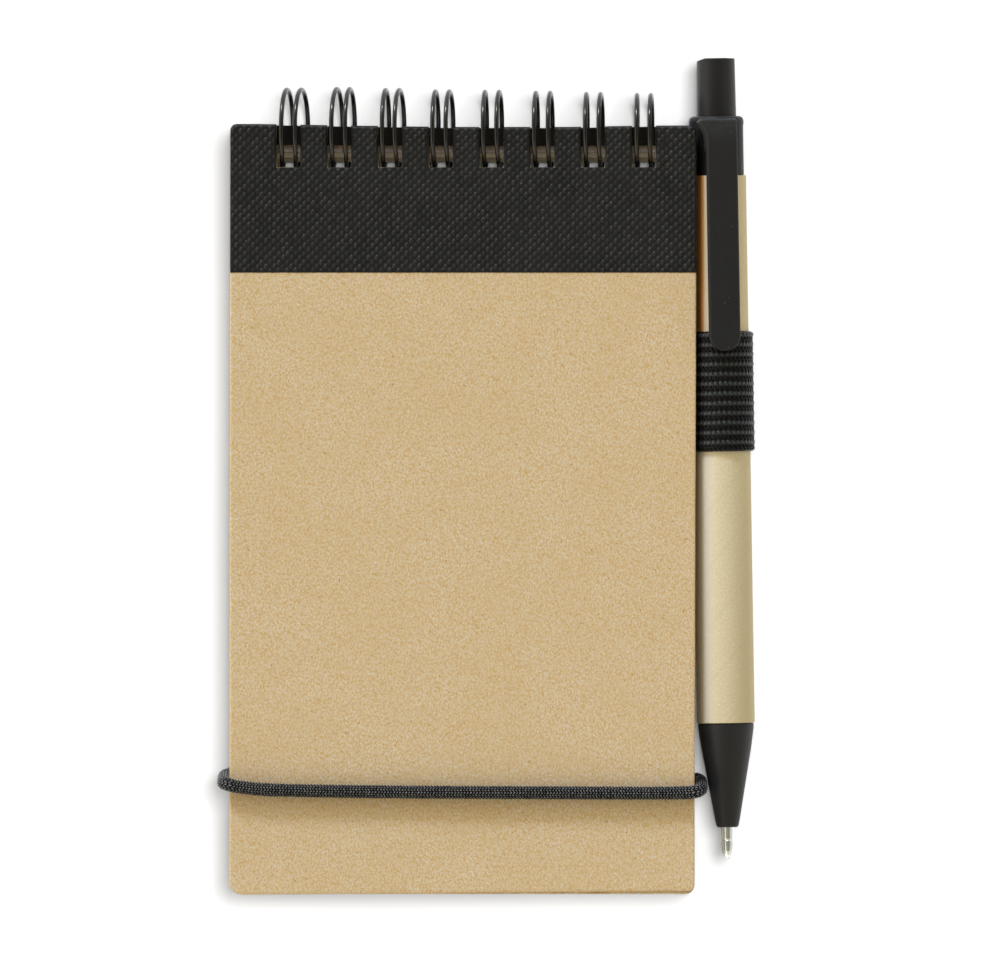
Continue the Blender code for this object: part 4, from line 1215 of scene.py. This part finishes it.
def return_spring():
    """Closed end coils, open middle."""
    turns, steps_per_turn = 8, 40
    low, length, coil_r, steel_r = -45.25, 9.65, 1.98, 0.17
    t = np.arange(turns * steps_per_turn + 1) / (turns * steps_per_turn)
    along = low + length * (t - 0.045 * np.sin(4 * math.pi * t))
    angle = TAU * turns * t
    coil = pen_points(along, coil_r * np.cos(angle), coil_r * np.sin(angle))
    piece("return_spring", *tube(coil, steel_r, 10), STEEL, "pen", ["pen_spring"], "steel", sharp=None)


turned_part("card_barrel", BARREL, 0.10, 3, 128, CARD, "pen", "pen_barrel", "card_tube", card_bump)
turned_part("cap_shell", CAP, 0.14, 4, 128, CAP_PLASTIC, "pen", "pen_cap", "black_plastic")
piece("clip_blade", *clip_mesh(), CLIP_PLASTIC, "pen", [], "black_plastic", sharp=55)
button()
turned_part("nose_shell", NOSE, 0.7, 6, 96, NOSE_PLASTIC, "pen", "pen_nose", "black_plastic")
turned_part("ink_tube", INK_TUBE, 0.06, 2, 48, REFILL, "refill", "refill_tube", "refill_plastic")
turned_part("turned_tip", TIP, 0.10, 3, 64, NICKEL, "refill", "refill_tip", "nickel")
return_spring()


# ============================================================================
# Woven pen loop
# ============================================================================
LOOP_INNER_R, LOOP_OUTER_R = 4.90, 5.52
LOOP_LOW, LOOP_HIGH = 9.75, 29.8        # along the pen
LOOP_EDGE_R = 0.42
ROW, STITCH = 1.63, 0.833
ROW_DRIFT = 0.10                        # stitches each row is shifted by
TAIL_LEFT, TAIL_RIGHT = -17.0, -2.4     # from the pen's axis
TAIL_TOP, TAIL_BOTTOM = 1.40, 0.78


def knit(around, along):
    """Height of the weave, 0..1: paired rows of small pits with slanted ribs between them."""
    row = np.floor(along / ROW)
    part = along / ROW - row
    wobble = 0.05 * noise2(around * 0.8, along * 0.8, seed=31)
    pits = np.zeros_like(around)
    for level, offset in ((0.20, 0.0), (0.58, 0.5)):
        for k in (-1, 0, 1):
            stitch = around / STITCH + ROW_DRIFT * (row + k) + offset + wobble
            aside = (stitch - np.round(stitch)) * STITCH
            above = (part - k - level) * ROW
            pits = np.maximum(pits, np.exp(-((aside / 0.15) ** 2 + (above / 0.24) ** 2)))
    slant = 0.55 * np.abs(((part + 0.3) % 1.0) - 0.5) * 2
    ribs = 0.5 + 0.5 * np.cos(TAU * (around / STITCH + ROW_DRIFT * row + slant))
    swell = 0.5 + 0.5 * np.cos(TAU * (part - 0.88))
    return np.clip(0.50 + 0.22 * ribs + 0.28 * swell - 0.85 * pits, 0, 1.1)


def woven_loop():
    """The band round the barrel."""
    sides = 336
    stations = np.unique(np.concatenate([
        LOOP_LOW + np.array([0.0, 0.03, 0.09, 0.18, 0.30, 0.45]),
        np.arange(LOOP_LOW + 0.55, LOOP_HIGH - 0.5, 0.105),
        LOOP_HIGH - np.array([0.45, 0.30, 0.18, 0.09, 0.03, 0.0]),
    ]))
    angle, along = np.meshgrid(
        TAU * np.arange(sides) / sides + math.radians(-100), stations, indexing="ij"
    )
    from_edge = np.minimum(along - LOOP_LOW, LOOP_HIGH - along)
    drop = rolloff(from_edge, LOOP_EDGE_R)
    weave = knit(angle * LOOP_OUTER_R, along)
    outer_r = LOOP_OUTER_R - 0.20 + 0.30 * weave * ease(0.0, 0.35, from_edge) - drop * 0.85
    # selvedge: a slightly fuller cord along both edges
    outer_r = outer_r + 0.05 * np.exp(-(((from_edge - 0.5) / 0.25) ** 2))
    inner_r = LOOP_INNER_R + np.minimum(0.16, drop * 0.4)
    points = np.concatenate([
        pen_points(along, radius * np.cos(angle), radius * np.sin(angle)).reshape(-1, 3)
        for radius in (outer_r, inner_r)
    ])
    size = angle.size
    index = np.arange(size).reshape(angle.shape)
    low, high = index[:, 0], index[:, -1]
    faces = double_sheet(np.vstack([index, index[:1]]), size)
    faces += rim_faces(low, low + size).tolist()
    faces += rim_faces(high, high + size)[:, FLIP].tolist()
    band = piece("woven_pen_loop", points, faces, BAND_YARN, "pad", ["pen_loop"], "elastic", sharp=None)
    relief(band, weave)


def loop_tail():
    """The loop's flat tail, glued into the back cover."""
    aside, along = np.meshgrid(
        np.linspace(TAIL_LEFT, TAIL_RIGHT, 120), np.linspace(LOOP_LOW, LOOP_HIGH, 150), indexing="ij"
    )
    from_edge = np.minimum.reduce([along - LOOP_LOW, LOOP_HIGH - along, aside - TAIL_LEFT])
    weave = knit(aside, along)
    face = 0.05 * weave * ease(0.0, 0.4, from_edge) - 0.12 * (1 - ease(0.0, 0.3, from_edge))
    top = pen_points(along, aside, TAIL_TOP - PEN_Z + face)
    low = pen_points(along, aside, TAIL_BOTTOM - PEN_Z - face * 0.6)
    points = np.concatenate([top.reshape(-1, 3), low.reshape(-1, 3)])
    size = aside.size
    index = np.arange(size).reshape(aside.shape)
    ring = np.concatenate([index[:, 0], index[-1, 1:], index[-2::-1, -1], index[0, -2:0:-1]])
    faces = double_sheet(index, size) + rim_faces(ring, ring + size).tolist()
    tail = piece("woven_loop_tail", points, faces, BAND_YARN, "pad", [], "elastic", sharp=None)
    relief(tail, [weave, weave])


woven_loop()
loop_tail()


# ============================================================================
# Braided closure
# ============================================================================
CORD_R, CORD_SIDES, CORD_SPACING = 1.09, 128, 0.062
CORD_X = 39.75                          # centre line beside the pad
CORD_LIFT = 1.25                        # centre line off the covers
FRONT_Z, BACK_Z = PAD_TOP + CORD_LIFT, -CORD_LIFT
CORNER_R, EYE_BEND_R = 1.7, 1.3
# (x, y) of the centre line across the front
FRONT_RUN = [
    (-34.0, -46.50), (-27.0, -46.75), (-10.0, -46.98), (10.0, -47.08), (30.0, -47.16), (35.0, -47.14),
]
# y of the centre line beside the pad at each height, by side
SIDE_RUN_Z = (2.8, 5.5, 8.3)
SIDE_RUN = {-1: (-44.78, -45.02, -45.30), 1: (-45.55, -45.85, -46.20)}
BRAID_ROWS, BRAID_PITCH = 16, 0.5125


def front_corner(x, start, end, y_start, y_end):
    """Quarter bend round the front's edge, drifting in Y."""
    steps = 7
    bend = arc(x, FRONT_Z - CORNER_R, CORNER_R, start, end, steps)
    return [
        (x, y_start + (y_end - y_start) * (i / steps) ** 1.3, z) for i, (x, z) in enumerate(bend)
    ]


def end_path(side):
    """From the anchor in the back cover out to the side of the pad."""
    x, y = side * CORD_EYE_X, CORD_EYE_Y[side]
    path = [(x, y, 0.72), (x, y, 0.30)]
    for degrees in (90, 67, 45, 22, 0):
        turn = math.radians(degrees)
        path.append((x + side * EYE_BEND_R * (1 - math.sin(turn)), y,
                     BACK_Z + EYE_BEND_R * (1 - math.cos(turn))))
    path.append((x + side * 5.0, y - 0.12, BACK_Z))
    for degrees in (90, 67.5, 45, 22.5, 0):
        turn = math.radians(degrees)
        drift = -0.30 - 0.55 * (1 - degrees / 90.0) ** 1.3
        path.append((side * (CORD_X - CORNER_R + CORNER_R * math.cos(turn)), y + drift,
                     BACK_Z + CORNER_R * (1 - math.sin(turn))))
    return path


def side_path(side):
    return [(side * CORD_X, y, z) for y, z in zip(SIDE_RUN[side], SIDE_RUN_Z)]


def braid(theta, length):
    """Height of the braid: rows of short slanted floats, every second row leaning the other way."""
    place = theta / TAU * BRAID_ROWS
    row = np.floor(place)
    part = place - row
    lean = np.where(row % 2 < 1, 1.0, -1.0)
    phase = length / BRAID_PITCH + 0.5 * lean * (part - 0.5) + 0.25 * (row % 2)
    phase = phase + 0.03 * noise2(length * 0.9, theta * 2.0, seed=44)
    crown = (0.5 + 0.5 * np.cos(TAU * phase)) ** 0.9
    return (0.15 + 0.85 * crown) * np.sin(math.pi * part) ** 0.55


def closure():
    path = end_path(-1) + side_path(-1)
    path += front_corner(-CORD_X + CORNER_R, 180, 90, -45.42, -46.00)
    path += [(x, y, FRONT_Z) for x, y in FRONT_RUN]
    path += front_corner(CORD_X - CORNER_R, 90, 0, -47.05, -46.45)
    path += side_path(1)[::-1] + end_path(1)[::-1]
    centre, stations = resample(path, CORD_SPACING)
    angle = TAU * np.arange(CORD_SIDES) / CORD_SIDES
    theta, length = np.meshgrid(angle, stations, indexing="xy")
    weave = braid(theta, length)
    wobble = 1.0 + 0.015 * noise2(length * 0.5, theta * 0 + 2.0, seed=41)
    radius = (CORD_R - 0.17 + 0.24 * weave) * wobble
    cord = piece("elastic_closure", *tube(centre, radius, CORD_SIDES), CORD_YARN, None, [],
                 "elastic", sharp=None)
    # every float catches the light a little differently
    half_stitch, row = np.floor(length / BRAID_PITCH * 2), np.floor(theta / TAU * BRAID_ROWS)
    relief(cord, weave * (0.75 + 0.5 * hash01(half_stitch, row, 3)))
    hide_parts("cord_front", "cord_back_left", "cord_back_right")
    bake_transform(cord)


def closure_bar(side, label):
    """Bar that holds the closure's end inside the back cover."""
    x, y = side * CORD_EYE_X, CORD_EYE_Y[side]
    half_width, half_length = 1.1, 3.6
    bar = outline(x - half_width, x + half_width, y - half_length, y + half_length,
                  (1, 1, 1, 1), steps=10)
    plate = soft_plate([bar], 0.9, 1.35, radius=0.12, steps=3, lip=0.1)
    piece(f"closure_bar_{label}", *plate, STEEL, "pad", [f"cord_anchor_{label}"], "steel")


closure()
closure_bar(-1, "left")
closure_bar(1, "right")

# CAD nodes that stay keep their shape and take a worked finish
for node, material in (("cam_rotor", INNER_PLASTIC), ("tip_ball", STEEL)):
    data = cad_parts[node].data
    data.materials.clear()
    data.materials.append(material)


# ============================================================================
# Stage
# ============================================================================
FLOOR_Z = (BACK_Z - CORD_R - 0.12) * MM
FLOOR_HALF = 1.6                        # metres
# linear colours of the floor's faint clouds
FLOOR_DARK, FLOOR_LIGHT = (0.395, 0.423, 0.508), (0.405, 0.434, 0.520)
WARM = (1.0, 0.934, 0.778)
KEY_FROM = (-0.74, 2.13, 1.0)           # top left, low enough to rake the embossing
SENSOR = 36.0
CAMERA_DISTANCE = 3.0                   # metres
VIEW_WIDTH, VIEW_X, VIEW_Y = 166.67, 6.275, 5.417


def make_floor():
    mesh = bpy.data.meshes.new("floor")
    corners = [(x * FLOOR_HALF, y * FLOOR_HALF, FLOOR_Z) for x, y in ((-1, -1), (1, -1), (1, 1), (-1, 1))]
    mesh.from_pydata(corners, [], [(0, 1, 2, 3)])
    obj = bpy.data.objects.new("floor", mesh)
    bpy.context.scene.collection.objects.link(obj)
    mat = Shader("studio_floor")
    clouds = mat.ramp(mat.noise(scale=0.02), over=(0.3, 0.7))
    mat.base = mat.mix(clouds, FLOOR_DARK, FLOOR_LIGHT)
    mesh.materials.append(mat.finish(rough=0.9, specular=0.0))
    return obj


def make_world():
    """A warm surround, dim overhead where the camera stands and brighter towards the left."""
    world = bpy.data.worlds.new("studio")
    bpy.context.scene.world = world
    world.use_nodes = True
    tree = world.node_tree
    direction = add_node(tree, "TexCoord", {}).outputs["Generated"]
    parts = add_node(tree, "SeparateXYZ", {0: direction}).outputs
    overhead = map_range(tree, parts[2], over=(0.55, 0.92), to=(1.0, 0.22),
                         interpolation_type="SMOOTHSTEP")
    sideways = map_range(tree, parts[0], over=(-1.0, 1.0), to=(1.45, 0.55))
    shape = add_node(tree, "Math", {0: overhead, 1: sideways}, operation="MULTIPLY").outputs[0]
    strength = add_node(tree, "Math", {0: shape, 1: 1.235}, operation="MULTIPLY").outputs[0]
    background = tree.nodes["Background"]
    set_input(tree, background.inputs["Color"], (1.0, 0.930, 0.752))
    set_input(tree, background.inputs["Strength"], strength)


def sun(name, toward, strength, angle, color, receivers, diffuse=True, glossy=True):
    """A far softbox: light arriving from the direction `toward`, `angle` degrees wide."""
    data = bpy.data.lights.new(name, "SUN")
    data.energy = strength
    data.angle = math.radians(angle)
    data.color = color
    obj = bpy.data.objects.new(name, data)
    obj.rotation_mode = "QUATERNION"
    obj.rotation_quaternion = Vector(toward).to_track_quat("Z", "Y")
    obj.location = Vector(toward).normalized() * 0.5
    bpy.context.scene.collection.objects.link(obj)
    obj.light_linking.receiver_collection = receivers
    obj.visible_diffuse, obj.visible_glossy = diffuse, glossy


def make_lights(floor):
    only_floor = bpy.data.collections.new("lit_floor_only")
    only_floor.objects.link(floor)
    not_floor = bpy.data.collections.new("lit_object_only")
    not_floor.objects.link(floor)
    not_floor.collection_objects[0].light_linking.link_state = "EXCLUDE"
    # the key's diffuse light is blue and its highlights are kept neutral
    sun("key_softbox", KEY_FROM, strength=2.8, angle=12.0, color=(0.557, 0.697, 1.0),
        receivers=not_floor, glossy=False)
    sun("key_sheen", KEY_FROM, strength=2.8, angle=12.0, color=(0.685, 0.690, 0.700),
        receivers=not_floor, diffuse=False)
    sun("floor_wash", (0.0, 0.0, 1.0), strength=1.96, angle=6.0, color=WARM, receivers=only_floor)
    sun("floor_side", (0.165, 0.115, 1.0), strength=4.8, angle=20.0, color=WARM,
        receivers=only_floor)


def make_camera():
    """Straight down from far away."""
    data = bpy.data.cameras.new("camera")
    camera = bpy.data.objects.new("camera", data)
    bpy.context.scene.collection.objects.link(camera)
    data.sensor_width = SENSOR
    data.lens = SENSOR * CAMERA_DISTANCE / (VIEW_WIDTH * MM)
    data.clip_start, data.clip_end = 0.1, 20.0
    camera.location = (VIEW_X * MM, VIEW_Y * MM, CAMERA_DISTANCE + PAD_TOP * MM)
    bpy.context.scene.camera = camera
    bpy.context.scene.view_settings.view_transform = "Standard"


floor = make_floor()
make_world()
make_lights(floor)
make_camera()
